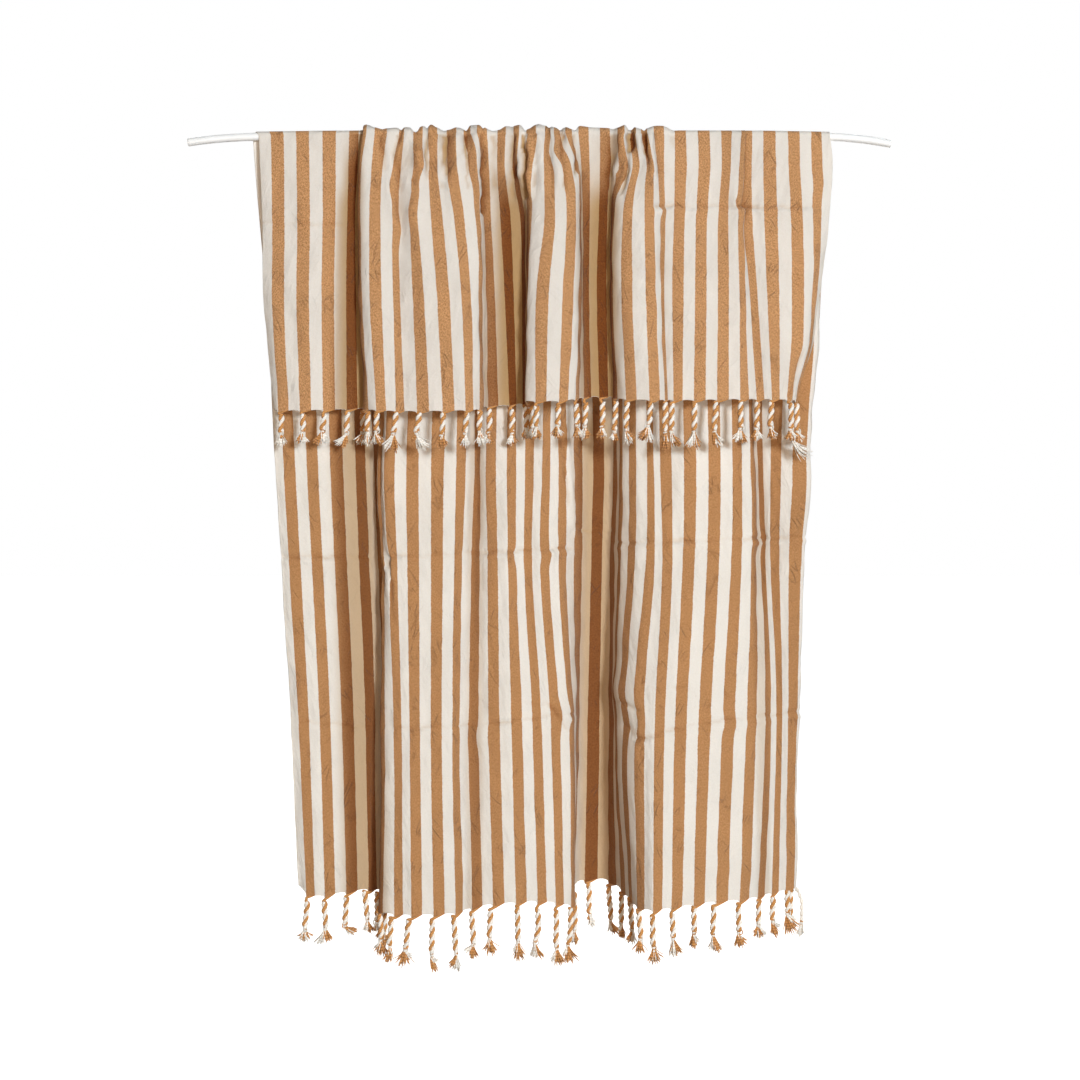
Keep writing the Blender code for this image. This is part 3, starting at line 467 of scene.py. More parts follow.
FRONT_TASSELS = (
    #      stripe  top             end             dark: turn spread long     pale
    Tassel(1, (281.5, 415.0), (281.0, 432.0), Tuft(14, 6, 6), Tuft(0, 25, 15), 0.8),
    Tassel(2, (303.5, 415.0), (302.5, 431.0), Tuft(-20, 10, 12), Tuft(12, 16, 12), -0.8),
    Tassel(3, (324.5, 415.0), (322.5, 430.0), Tuft(-30, 14, 15), Tuft(16, 22, 14), 1.0),
    Tassel(4, (347.5, 413.0), (346.5, 432.0), Tuft(-14, 12, 15), Tuft(-44, 12, 16), 0.6),
    Tassel(5, (363.0, 412.5), (362.5, 431.0), Tuft(-12, 18, 12), Tuft(-18, 26, 14), 0.6, behind=6.0),
    Tassel(6, (368.0, 412.5), (367.5, 431.0), Tuft(12, 16, 12), Tuft(2, 26, 14), 0.8),
    Tassel(7, (377.0, 413.5), (376.0, 430.0), Tuft(24, 12, 15), Tuft(6, 24, 13), 1.8),
    Tassel(8, (396.5, 413.5), (393.5, 432.0), Tuft(0, 18, 20), Tuft(-30, 9, 20), 2.4),
    Tassel(9, (419.5, 413.5), (416.5, 432.0), Tuft(-26, 10, 9), Tuft(28, 22, 20), 0.6),
    Tassel(10, (443.5, 414.0), (441.5, 434.0), Tuft(6, 28, 14), Tuft(0, 8, 5)),
    Tassel(11, (467.0, 413.5), (465.0, 432.0), Tuft(-34, 10, 12), Tuft(4, 18, 15), 0.4),
    Tassel(12, (480.0, 412.0), (479.5, 430.0), Tuft(14, 16, 8), Tuft(10, 24, 15), 1.0),
    Tassel(13, (490.0, 410.5), (489.0, 431.0), Tuft(6, 14, 13), Tuft(-16, 12, 12), -0.6),
    Tassel(14, (512.5, 410.5), (512.0, 432.0), Tuft(8, 14, 12), Tuft(-12, 16, 12), 0.6),
    Tassel(15, (527.0, 408.0), (526.0, 427.0), Tuft(-10, 14, 11), Tuft(12, 14, 10), 0.6),
    Tassel(16, (531.0, 407.0), (531.5, 428.0), Tuft(8, 12, 11), Tuft(-12, 14, 10), behind=5.0),
    Tassel(17, (536.5, 407.0), (536.5, 426.0), Tuft(10, 16, 12), Tuft(-14, 14, 10), 0.8),
    Tassel(18, (558.5, 406.0), (557.5, 424.0), Tuft(-4, 24, 13), Tuft(10, 20, 11), 0.8),
    Tassel(19, (576.5, 405.0), (577.0, 424.0), Tuft(4, 14, 14), Tuft(18, 16, 13), 0.8),
    Tassel(20, (586.0, 403.5), (585.0, 425.0), Tuft(6, 16, 13), Tuft(-18, 18, 14), -0.6),
    Tassel(21, (603.0, 403.0), (602.0, 425.0), Tuft(-10, 16, 13), Tuft(14, 14, 12), 0.6),
    Tassel(22, (616.0, 402.5), (614.5, 430.0), Tuft(4, 14, 10), Tuft(-18, 16, 9), 0.4),
    Tassel(23, (627.0, 403.0), (626.0, 428.0), Tuft(34, 12, 13), Tuft(14, 16, 16), 0.8),
    Tassel(24, (651.0, 403.0), (648.5, 424.0), Tuft(-32, 12, 17), Tuft(-2, 22, 18), -0.8),
    Tassel(25, (665.5, 403.5), (665.0, 431.0), Tuft(-2, 7, 20), Tuft(8, 8, 10)),
    Tassel(26, (672.0, 404.5), (671.5, 430.0), Tuft(26, 10, 17), Tuft(14, 14, 12), 0.4),
    Tassel(27, (695.0, 403.5), (694.0, 430.0), Tuft(12, 10, 18), Tuft(-16, 14, 18)),
    Tassel(28, (716.0, 403.5), (714.5, 430.0), Tuft(10, 14, 14), Tuft(26, 12, 17)),
    Tassel(29, (741.0, 403.0), (740.5, 427.0), Tuft(16, 8, 16), Tuft(-14, 20, 15), 1.6),
    Tassel(30, (757.5, 403.0), (756.5, 427.0), Tuft(-14, 14, 13), Tuft(12, 18, 13), 0.8),
    Tassel(31, (771.5, 403.0), (770.5, 426.0), Tuft(8, 16, 13), Tuft(24, 16, 12), 0.8),
    Tassel(32, (791.5, 404.0), (790.5, 428.0), Tuft(-6, 18, 12), Tuft(18, 18, 12), 0.8),
    Tassel(33, (796.5, 405.0), (797.5, 430.0), Tuft(10, 22, 11), Tuft(30, 18, 12), 0.8, behind=4.0),
)

BACK_TASSELS = (
    #      stripe  top             end             dark: turn spread long     pale
    Tassel(1, (307.5, 902.5), (304.8, 928.5), Tuft(2, 40, 11), Tuft(-8, 34, 14), 0.8),
    Tassel(2, (324.6, 902.5), (325.3, 927.0), Tuft(16, 20, 14), Tuft(-22, 12, 20), 0.4),
    Tassel(3, (346.5, 898.0), (345.2, 924.5), Tuft(66, 14, 14), Tuft(48, 18, 12), -1.0),
    Tassel(4, (364.8, 892.0), (367.4, 919.0), Tuft(20, 12, 14), Tuft(-12, 12, 12)),
    Tassel(5, (377.5, 893.5), (376.8, 921.0), Tuft(8, 12, 9), Tuft(-14, 16, 10), -1.4, behind=2.0),
    Tassel(6, (381.5, 896.5), (380.5, 926.0), Tuft(-10, 12, 13), Tuft(10, 14, 9)),
    Tassel(7, (384.5, 902.5), (384.5, 931.0), Tuft(4, 12, 14), Tuft(-12, 10, 9), behind=2.0),
    Tassel(8, (379.0, 912.5), (381.0, 938.5), Tuft(0, 26, 17), Tuft(-18, 22, 12), -0.8, 0.8),
    Tassel(9, (391.2, 918.5), (389.7, 945.0), Tuft(-8, 12, 17), Tuft(4, 8, 9)),
    Tassel(10, (409.0, 921.0), (405.2, 948.5), Tuft(-8, 32, 18), Tuft(30, 22, 11), 1.2),
    Tassel(11, (432.4, 921.0), (431.6, 953.5), Tuft(10, 6, 20), Tuft(34, 14, 10)),
    Tassel(12, (453.6, 917.0), (456.2, 953.0), Tuft(-26, 8, 14), Tuft(2, 10, 18)),
    Tassel(13, (472.0, 913.5), (473.0, 943.0), Tuft(2, 16, 15), Tuft(-48, 12, 12), 0.8),
    Tassel(14, (490.6, 911.0), (489.6, 937.0), Tuft(6, 26, 18), Tuft(-6, 10, 9)),
    Tassel(15, (517.4, 907.0), (518.0, 941.0), Tuft(6, 18, 19), Tuft(-22, 12, 11)),
    Tassel(16, (537.6, 910.0), (535.0, 941.5), Tuft(26, 8, 18), Tuft(-4, 12, 15), 2.6, 2.0),
    Tassel(17, (556.3, 911.0), (556.5, 947.5), Tuft(14, 18, 18), Tuft(-18, 10, 15)),
    Tassel(18, (570.5, 909.0), (568.0, 944.0), Tuft(14, 22, 20), Tuft(-14, 12, 12), 0.0, 1.4),
    Tassel(19, (574.0, 893.0), (574.5, 930.0), Tuft(6, 12, 13), Tuft(-8, 12, 12), 0.0, 0.6),
    Tassel(20, (588.9, 884.0), (589.6, 913.0), Tuft(-10, 8, 6), Tuft(16, 12, 15), 0.4),
    Tassel(21, (608.7, 886.5), (610.5, 919.0), Tuft(30, 10, 17), Tuft(10, 14, 13)),
    Tassel(22, (621.5, 893.5), (621.4, 921.5), Tuft(1, 9, 17), Tuft(-10, 6, 8), -0.6),
    Tassel(23, (630.0, 899.0), (632.2, 928.0), Tuft(-14, 14, 14), Tuft(-6, 18, 16), -0.8),
    Tassel(24, (638.8, 910.5), (640.4, 937.5), Tuft(-8, 22, 16), Tuft(20, 10, 7), 0.4),
    Tassel(25, (652.4, 917.0), (653.3, 946.0), Tuft(8, 30, 17), Tuft(10, 18, 16), 0.6),
    Tassel(26, (672.3, 915.0), (673.2, 937.0), Tuft(16, 18, 18), Tuft(-2, 12, 19), -0.6),
    Tassel(27, (694.0, 907.5), (694.0, 931.0), Tuft(-4, 12, 16), Tuft(16, 12, 11), 0.4),
    Tassel(28, (713.8, 907.0), (713.0, 934.0), Tuft(20, 12, 18), Tuft(-2, 10, 17)),
    Tassel(29, (738.6, 904.5), (738.6, 931.0), Tuft(12, 24, 16), Tuft(24, 8, 7), 2.2),
    Tassel(30, (759.0, 901.0), (758.4, 923.5), Tuft(-4, 24, 14), Tuft(26, 20, 15), 0.4),
    Tassel(31, (773.0, 898.0), (772.4, 919.5), Tuft(12, 10, 17), Tuft(52, 10, 10), 0.8),
    Tassel(32, (787.6, 892.0), (787.2, 912.0), Tuft(16, 26, 23), Tuft(52, 14, 12), 1.4),
    Tassel(33, (790.5, 891.5), (790.5, 916.0), Tuft(-12, 16, 13), Tuft(10, 12, 12), behind=3.0),
)


@dataclass(frozen=True)
class LoneTassel:
    """The pale tassel of the right selvedge, which has no dark stripe beside it.

    Args:
        marks: drawing positions right and down of its rope, in even steps.
        ahead: how much farther in front its lower end hangs than its top, in units.
        tuft: its loose threads.
    """

    marks: tuple[tuple[float, float], ...]
    ahead: float
    tuft: Tuft


FRONT_LONE = LoneTassel(
    ((794.0, 398.0), (792.5, 412.0), (791.5, 426.0), (792.0, 438.0)), 3.0, Tuft(46, 14, 26)
)
BACK_LONE = LoneTassel(
    ((794.0, 885.0), (799.0, 893.0), (802.0, 902.0), (801.5, 921.0)), 0.0, Tuft(-6, 12, 17)
)


def smooth(value: np.ndarray | float) -> np.ndarray | float:
    """Soft step from 0 to 1."""
    held = np.clip(value, 0.0, 1.0)
    return held * held * (3.0 - 2.0 * held)


def drawn(x: np.ndarray | float, y: np.ndarray | float, out: np.ndarray | float) -> np.ndarray:
    """Points in metres of drawing positions that are `out` units in front of the rod axis.

    Args:
        x: drawing positions to the right.
        y: drawing positions down.
        out: units in front of the rod axis.

    Returns:
        The points, their three coordinates last.
    """
    ahead = np.asarray(out) * UNIT
    scale = 1.0 - ahead / VIEW_DISTANCE
    height = (AXIS_Y - np.asarray(y)) * UNIT + EYE_DROP
    parts = np.broadcast_arrays((np.asarray(x) - MID_X) * UNIT * scale, -ahead, height * scale - EYE_DROP)
    return np.stack(parts, axis=-1)


def rod_axis_y(x: np.ndarray | float) -> np.ndarray:
    """Drawing height of the rod's axis at x."""
    return np.interp(x, *np.array(ROD_AXIS).T)


def unit(vectors: np.ndarray) -> np.ndarray:
    """The same directions with a length of one."""
    return vectors / (np.linalg.norm(vectors, axis=-1, keepdims=True) + 1e-12)


def way_along(path: np.ndarray) -> np.ndarray:
    """Length of a path from its start to each of its points."""
    return np.concatenate([[0.0], np.cumsum(np.linalg.norm(np.diff(path, axis=0), axis=1))])


def softened(path: np.ndarray, times: int = 1) -> np.ndarray:
    """A path with its corners smoothed that many times, both ends kept."""
    path = path.copy()
    for _ in range(times):
        path[1:-1] = 0.25 * path[:-2] + 0.5 * path[1:-1] + 0.25 * path[2:]
    return path


def around(first: np.ndarray, second: np.ndarray, sides: int) -> tuple[np.ndarray, np.ndarray]:
    """Directions around a path, for the points of a tube.

    Args:
        first: direction in which the tube's sides start, at each point of the path.
        second: direction a quarter of the way round.
        sides: number of sides.

    Returns:
        A row of directions for each point, and their angles with the full turn at the end.
    """
    turn = np.linspace(0.0, 2 * math.pi, sides + 1)
    ring = first[:, None] * np.cos(turn)[None, :-1, None] + second[:, None] * np.sin(turn)[None, :-1, None]
    return ring, turn


@dataclass(frozen=True)
class FoldTable:
    """A fold table, read between its rows and its levels.

    Args:
        rows: the folds, from the left selvedge to the right one.
        levels: shares of the drop that the columns of each row stand for; not used.
        base: depth that the fullness of the folds is measured from.
    """

    rows: tuple[Fold, ...]
    levels: tuple[float, ...]
    base: float

    def at(self, across: np.ndarray) -> tuple[np.ndarray, ...]:
        """Positions, depths, hem, lift, skew and swell across the cloth, with the folds rounded.

        Args:
            across: places across the cloth in stripe pairs.

        Returns:
            Positions and depths, a row for each place, then hem, lift, skew and swell there.
        """
        places = [row.across for row in self.rows]
        values = [[*row.x, *row.out, row.hem, row.lift, row.skew, row.swell] for row in self.rows]
        columns = np.array(values).T
        reach = np.minimum(CORNER, np.minimum(across, ACROSS - across))
        kept = np.zeros((len(across), len(columns)))
        total = 0.0
        for share in np.linspace(-1.0, 1.0, 7):  # readings across the rounding; the middle weighs most
            weight = 1.0 - 0.6 * abs(share)
            where = across + share * reach
            kept += weight * np.stack([np.interp(where, places, column) for column in columns], axis=1)
            total += weight
        kept /= total
        wide = len(self.rows[0].x)
        depths = self.base + (kept[:, wide:2 * wide] - self.base) * FULLNESS
        return kept[:, :wide], depths, *kept[:, -4:].T


def through(levels: tuple[float, ...], values: np.ndarray, shares: np.ndarray) -> np.ndarray:
    """Smooth curves through the values at the levels.

    Args:
        levels: shares of the drop.
        values: a row of values for each curve.
        shares: where the curves are read.

    Returns:
        A row for each curve and a column for each share.
    """
    steps = np.diff(levels)
    rises = np.diff(values, axis=1) / steps
    slopes = np.empty_like(values)
    slopes[:, 0], slopes[:, -1] = rises[:, 0], rises[:, -1]
    slopes[:, 1:-1] = np.where(rises[:, :-1] * rises[:, 1:] < 0, 0.0, 0.5 * (rises[:, :-1] + rises[:, 1:]))
    i = np.clip(np.searchsorted(levels, shares, side="right") - 1, 0, len(steps) - 1)
    span = steps[i]
    s = (shares - np.array(levels)[i]) / span
    return (
        (1 + 2 * s) * (1 - s) ** 2 * values[:, i]
        + s * (1 - s) ** 2 * span * slopes[:, i]
        + s * s * (3 - 2 * s) * values[:, i + 1]
        + s * s * (s - 1) * span * slopes[:, i + 1]
    )


class Draft:
    """A mesh in the making: four-sided faces with their finish, cloth coordinates and painted shade."""

    def __init__(self) -> None:
        """Start with nothing."""
        self.points: list[np.ndarray] = []
        self.faces: list[np.ndarray] = []
        self.coords: list[np.ndarray] = []
        self.painted_shades: list[np.ndarray] = []
        self.slots: list[np.ndarray] = []
        self.count = 0

    def grid(
        self, points: np.ndarray, coords: np.ndarray, slot: int = 0, closed: bool = False,
        painted_shades: np.ndarray | None = None,
    ) -> None:
        """Add a grid of faces.

        Args:
            points: rows of columns of points.
            coords: cloth coordinates of the same points; one column more where it is closed.
            slot: number of its finish.
            closed: whether the last column joins the first.
            painted_shades: painted shade of each point, from how deep it lies between folds, 0 to 1; none
                where left out.
        """
        rows, columns = points.shape[:2]
        steps = columns if closed else columns - 1
        index = np.arange(rows * columns).reshape(rows, columns)
        low, high = index[:-1], index[1:]
        after = (np.arange(steps) + 1) % columns
        faces = np.stack([low[:, :steps], low[:, after], high[:, after], high[:, :steps]], axis=-1)
        faces = faces.reshape(-1, 4)
        left, right = coords[:, :steps], coords[:, 1:steps + 1]
        corners = np.stack([left[:-1], right[:-1], right[1:], left[1:]], axis=2)
        painted_shade = np.zeros(rows * columns) if painted_shades is None else painted_shades.ravel()
        self.points.append(points.reshape(-1, 3))
        self.faces.append(self.count + faces)
        self.coords.append(corners.reshape(-1, 4, 2))
        self.painted_shades.append(np.repeat(painted_shade[faces][..., None], 2, axis=-1))
        self.slots.append(np.full(len(faces), slot))
        self.count += rows * columns

    def tube(self, path: np.ndarray, radii: np.ndarray, sides: int, slot: int, wound: float = 1.0) -> None:
        """Add a round tube along a path.

        Args:
            path: its points, one after the other.
            radii: its radius at each of them.
            sides: number of its sides.
            slot: number of its finish.
            wound: share of the way round it that its cloth coordinate goes.
        """
        along = unit(np.gradient(path, axis=0))
        guide = np.where(np.abs(along[:, 1:2]) < 0.8, [AWAY], [[1.0, 0.0, 0.0]])
        side = unit(np.cross(along, guide))
        ring, turn = around(side, np.cross(side, along), sides)
        laid = np.broadcast_arrays(wound * turn[None] / (2 * math.pi), way_along(path)[:, None])
        self.grid(path[:, None] + ring * radii[:, None, None], np.stack(laid, axis=-1), slot, closed=True)

    def made(self, name: str, finishes: list[bpy.types.Material]) -> bpy.types.Object:
        """Turn the draft into an object.

        Args:
            name: name of the object.
            finishes: its materials, in the order of the slots.

        Returns:
            The object, smooth and in the scene.
        """
        faces, slots = np.concatenate(self.faces), np.concatenate(self.slots)
        mesh = bpy.data.meshes.new(name)
        mesh.vertices.add(self.count)
        mesh.vertices.foreach_set("co", np.concatenate(self.points).astype(np.float32).ravel())
        mesh.loops.add(faces.size)
        mesh.loops.foreach_set("vertex_index", faces.ravel().astype(np.int32))
        mesh.polygons.add(len(faces))
        mesh.polygons.foreach_set("loop_start", np.arange(0, faces.size, 4, dtype=np.int32))
        mesh.polygons.foreach_set("material_index", slots.astype(np.int32))
        mesh.polygons.foreach_set("use_smooth", np.ones(len(faces), dtype=bool))
        for label, values in (("cloth", self.coords), ("painted_shade", self.painted_shades)):
            layer = mesh.uv_layers.new(name=label)
            layer.uv.foreach_set("vector", np.concatenate(values).astype(np.float32).ravel())
        for finish in finishes:
            mesh.materials.append(finish)
        mesh.update(calc_edges=True)
        mesh.validate()
        thing = bpy.data.objects.new(name, mesh)
        bpy.context.scene.collection.objects.link(thing)
        return thing


class Shader:
    """A material's nodes, added one by one."""

    def __init__(self, name: str) -> None:
        """Start a material with its plain shader."""
        self.material = bpy.data.materials.new(name)
        self.material.use_nodes = True
        self.nodes = self.material.node_tree.nodes
        self.links = self.material.node_tree.links
        self.surface = self.nodes["Principled BSDF"]

    def put(self, socket: Socket, value: object) -> None:
        """Join a socket to another one, or set its value."""
        if isinstance(value, Socket):
            self.links.new(value, socket)
        else:
            socket.default_value = value

    def add(self, kind: str, inputs: dict[str | int, object], **settings: object) -> bpy.types.Node:
        """Add a node.

        Args:
            kind: type of the node.
            inputs: sockets or values by the name or number of the input.
            settings: its own settings by name.

        Returns:
            The node.
        """
        node = self.nodes.new(kind)
        for key, value in settings.items():
            setattr(node, key, value)
        for key, value in inputs.items():
            self.put(node.inputs[key], value)
        return node

    def dressed(self, inputs: dict[str, object]) -> bpy.types.Material:
        """The finished material, with these inputs of its surface joined or set."""
        for key, value in inputs.items():
            self.put(self.surface.inputs[key], value)
        return self.material

    def coords(self, layer: str) -> Socket:
        """Place on one of the mesh's coordinate layers."""
        return self.add("ShaderNodeUVMap", {}, uv_map=layer).outputs[0]

    def place(self) -> Socket:
        """Place in the object's own metres."""
        return self.add("ShaderNodeTexCoord", {}).outputs["Object"]

    def split(self, place: Socket) -> tuple[Socket, Socket]:
        """First and second coordinate of a place."""
        parts = self.add("ShaderNodeSeparateXYZ", {0: place})
        return parts.outputs[0], parts.outputs[1]

    def math(self, operation: str, *values: object) -> Socket:
        """Result of a sum or other arithmetic of sockets and numbers."""
        return self.add("ShaderNodeMath", dict(enumerate(values)), operation=operation).outputs[0]

    def vector(self, operation: str, inputs: dict[str | int, object]) -> Socket:
        """Result of the arithmetic of places or colours."""
        return self.add("ShaderNodeVectorMath", inputs, operation=operation).outputs[0]

    def mix(self, share: object, first: object, second: object) -> Socket:
        """Colour between two colours."""
        return self.add("ShaderNodeMix", {0: share, 6: first, 7: second}, data_type="RGBA").outputs[2]

    def noise(self, where: Socket, scale: float, detail: float = 2.0, rough: float = 0.5) -> Socket:
        """Value of a noise at a place."""
        inputs = {"Vector": where, "Scale": scale, "Detail": detail, "Roughness": rough}
        return self.add("ShaderNodeTexNoise", inputs).outputs["Fac"]

    def ramp(self, value: Socket, low: float, high: float) -> Socket:
        """Soft step from 0 at low to 1 at high."""
        inputs = {"Value": value, "From Min": low, "From Max": high}
        return self.add("ShaderNodeMapRange", inputs, interpolation_type="SMOOTHSTEP").outputs[0]

    def stretched(self, where: Socket, across: float, along: float, turn: float = 0.0) -> Socket:
        """Place in the cloth turned by an angle and then scaled across and along."""
        inputs = {"Vector": where, "Rotation": (0.0, 0.0, turn)}
        turned = self.add("ShaderNodeMapping", inputs, vector_type="POINT").outputs[0]
        return self.add("ShaderNodeMapping", {"Vector": turned, "Scale": (across, along, 1.0)}).outputs[0]

    def bump(self, height: Socket, distance: float, under: Socket | None = None) -> Socket:
        """Normal raised by a height, over another normal where one is given."""
        inputs = {"Height": height, "Distance": distance, "Strength": 1.0}
        if under is not None:
            inputs["Normal"] = under
        return self.add("ShaderNodeBump", inputs).outputs[0]


@dataclass(frozen=True)
class StripedCotton:
    """Flat weave with lengthwise stripes, crinkled by washing.

    Args:
        dark: colour of the dark stripes.
        dark_deep: colour of their darker threads.
        fleck: colour of the light flecks in them.
        crease_shade: their painted shade in a small crease.
        pale: colour of the pale stripes.
        pale_deep: colour of their darker threads, and their painted shade in a small crease.
        speck: colour of the dark specks in them.
        wander: how far a stripe's edge wanders to both sides, in metres.
        edge: how far in from a selvedge its colour is read, so that it has only one, in stripe pairs.
        crinkle: depth of the small washed-in creases, in metres.
        weave: depth of the weave, in metres.
        warp: width of two warp threads.
        weft: width of two weft threads.
        slant: turn of the grain of the yarn, in radians.
        sheer: share of the light that passes through the cloth.
        painted_fold_shade: painted shade deep between folds, darker and warmer as if the stripes lit each
            other:
            what is left of a pale colour there.
        painted_fold_shade_dark: the same painted shade of a dark colour.
        reverse: how much nearer the dark stripes are to their darker threads on the back fall.
    """

    dark: Colour = (0.775, 0.420, 0.193, 1.0)
    dark_deep: Colour = (0.44, 0.205, 0.076, 1.0)
    fleck: Colour = (0.80, 0.55, 0.32, 1.0)
    crease_shade: Colour = (0.30, 0.13, 0.045, 1.0)
    pale: Colour = (0.935, 0.885, 0.825, 1.0)
    pale_deep: Colour = (0.86, 0.79, 0.70, 1.0)
    speck: Colour = (0.62, 0.50, 0.36, 1.0)
    wander: float = 0.0009
    edge: float = 0.03
    crinkle: float = 0.0011
    weave: float = 0.00022
    warp: float = 0.0011
    weft: float = 0.0013
    slant: float = 0.62
    sheer: float = 0.20
    # painted shade between the folds, not colours of the cotton
    painted_fold_shade: Colour = (0.57, 0.38, 0.185, 1.0)
    painted_fold_shade_dark: Colour = (0.34, 0.19, 0.07, 1.0)
    reverse: float = 0.55

    def material(self) -> bpy.types.Material:
        """Material of the cloth."""
        s = Shader("striped_cotton")
        cloth = s.coords("cloth")
        across, along = s.split(cloth)
        stripe = self.stripe(s, cloth, across)
        threads = s.noise(s.stretched(cloth, 1500.0, 330.0), 1.0)
        grain = s.noise(s.stretched(cloth, 620.0, 300.0, self.slant), 1.0, 2.0, 0.75)
        mixed = s.math("ADD", s.math("MULTIPLY", grain, 0.6), s.math("MULTIPLY", threads, 0.4))
        heather = s.ramp(mixed, 0.38, 0.60)
        crinkles = self.crinkles(s, cloth)
        colour = self.colour(s, cloth, stripe, heather)
        colour = self.shaded(s, cloth, colour, stripe, crinkles)

        soft = s.bump(s.noise(s.stretched(cloth, 70.0, 30.0, 0.3), 1.0), 0.0030)
        dented = s.math("MULTIPLY", crinkles, s.math("MULTIPLY_ADD", stripe, 0.65, 0.35))
        dents = s.bump(s.math("SUBTRACT", 1.0, dented), self.crinkle, soft)
        warp = s.math("SINE", s.math("MULTIPLY", across, 2 * math.pi / self.warp))
        weft = s.math("SINE", s.math("MULTIPLY", along, 2 * math.pi / self.weft))
        woven = s.math("MULTIPLY_ADD", s.math("MULTIPLY", warp, weft), 0.5, s.math("MULTIPLY", grain, 1.6))
        normal = s.bump(woven, self.weave, dents)

        glow = s.add("ShaderNodeBsdfTranslucent", {"Color": colour, "Normal": normal}).outputs[0]
        sheer = s.add("ShaderNodeMixShader", {0: self.sheer, 1: s.surface.outputs[0], 2: glow}).outputs[0]
        s.put(s.nodes["Material Output"].inputs["Surface"], sheer)
        return s.dressed({
            "Base Color": colour, "Normal": normal, "Roughness": s.math("MULTIPLY_ADD", heather, -0.12, 0.95),
            "Specular IOR Level": 0.18, "Sheen Weight": 0.12, "Sheen Roughness": 0.55,
        })

    def stripe(self, s: Shader, cloth: Socket, across: Socket) -> Socket:
        """Where the dark stripes are.

        Args:
            s: the material's nodes.
            cloth: place on the cloth.
            across: its first coordinate, from the left selvedge.

        Returns:
            1 on a dark stripe and 0 on a pale one, with wandering and frayed edges.
        """
        for size, detail in ((38.0, 2.0), (560.0, 1.0)):
            moved = s.math("MULTIPLY_ADD", s.noise(cloth, size, detail), 2.0 * self.wander, -self.wander)
            across = s.math("ADD", across, moved)
        inner = s.math("MAXIMUM", across, self.edge * PAIR)
        inner = s.math("MINIMUM", inner, (ACROSS - self.edge) * PAIR)
        share = s.math("FRACT", s.math("DIVIDE", inner, PAIR))
        aside = s.math("ABSOLUTE", s.math("SUBTRACT", share, 0.75))
        return s.math("SUBTRACT", 1.0, s.ramp(aside, 0.243, 0.257))

    def crinkles(self, s: Shader, cloth: Socket) -> Socket:
        """Small creases that cross each other at a slant, in patches.

        Args:
            s: the material's nodes.
            cloth: place on the cloth.

        Returns:
            1 in a crease and 0 beside it.
        """
        lines = []
        for turn, shift in ((self.slant, 0.0), (-0.50, 3.7)):
            moved = s.vector("ADD", {0: cloth, 1: (shift, shift, 0.0)})
            bent = s.noise(s.stretched(moved, 88.0, 17.0, turn), 1.0, 0.5, 0.4)
            ridge = s.math("ABSOLUTE", s.math("SUBTRACT", bent, 0.5))
            line = s.math("SUBTRACT", 1.0, s.ramp(ridge, 0.0, 0.040))
            lines.append(s.math("MULTIPLY", line, s.ramp(s.noise(moved, 27.0, 1.0), 0.53, 0.68)))
        return s.math("MAXIMUM", *lines)

    def colour(self, s: Shader, cloth: Socket, stripe: Socket, heather: Socket) -> Socket:
        """Colour of the flat cloth: heathered stripes with flecks and specks.

        Args:
            s: the material's nodes.
            cloth: place on the cloth.
            stripe: where the dark stripes are.
            heather: where their lighter threads are.

        Returns:
            The colour.
        """
        dark = s.mix(heather, self.dark_deep, self.dark)
        flecks = s.math("MULTIPLY", s.ramp(s.noise(cloth, 620.0, 1.0), 0.62, 0.72), 0.45)
        dark = s.mix(flecks, dark, self.fleck)
        behind = s.ramp(s.split(cloth)[1], FRONT_LONG, FRONT_LONG + SADDLE_LONG)
        dark = s.mix(s.math("MULTIPLY", behind, self.reverse), dark, self.dark_deep)
        pale = s.mix(s.math("MULTIPLY_ADD", heather, 0.5, 0.5), self.pale_deep, self.pale)
        specks = s.math("MULTIPLY", s.ramp(s.noise(cloth, 420.0, 1.0), 0.72, 0.80), 0.30)
        pale = s.mix(specks, pale, self.speck)
        return s.mix(stripe, pale, dark)

    def shaded(self, s: Shader, cloth: Socket, colour: Socket, stripe: Socket, crinkles: Socket) -> Socket:
        """Colour of the cloth as it lies, with painted shade in its small creases and between its folds.

        Args:
            s: the material's nodes.
            cloth: place on the cloth.
            colour: colour of the flat cloth.
            stripe: where the dark stripes are.
            crinkles: where the small creases are.

        Returns:
            The colour, which also drifts a little over the cloth.
        """
        # Painted shade in the small creases: dark stripes toward crease_shade, pale ones toward pale_deep.
        shade = s.math("MULTIPLY", crinkles, s.math("MULTIPLY_ADD", stripe, 0.30, 0.05))
        colour = s.mix(shade, colour, s.mix(stripe, self.pale_deep, self.crease_shade))
        drift = s.math("MULTIPLY_ADD", s.noise(cloth, 11.0, 3.0), 0.16, 0.92)
        colour = s.vector("SCALE", {0: colour, "Scale": drift})
        # Painted shade: the cloth's colour is darkened and warmed between its folds by the mesh's layer of
        # painted shade.
        painted_shade, _ = s.split(s.coords("painted_shade"))
        painted_fold_shade = s.mix(painted_shade, (1.0, 1.0, 1.0, 1.0), s.mix(stripe, self.painted_fold_shade, self.painted_fold_shade_dark))
        return s.vector("MULTIPLY", {0: colour, 1: painted_fold_shade})


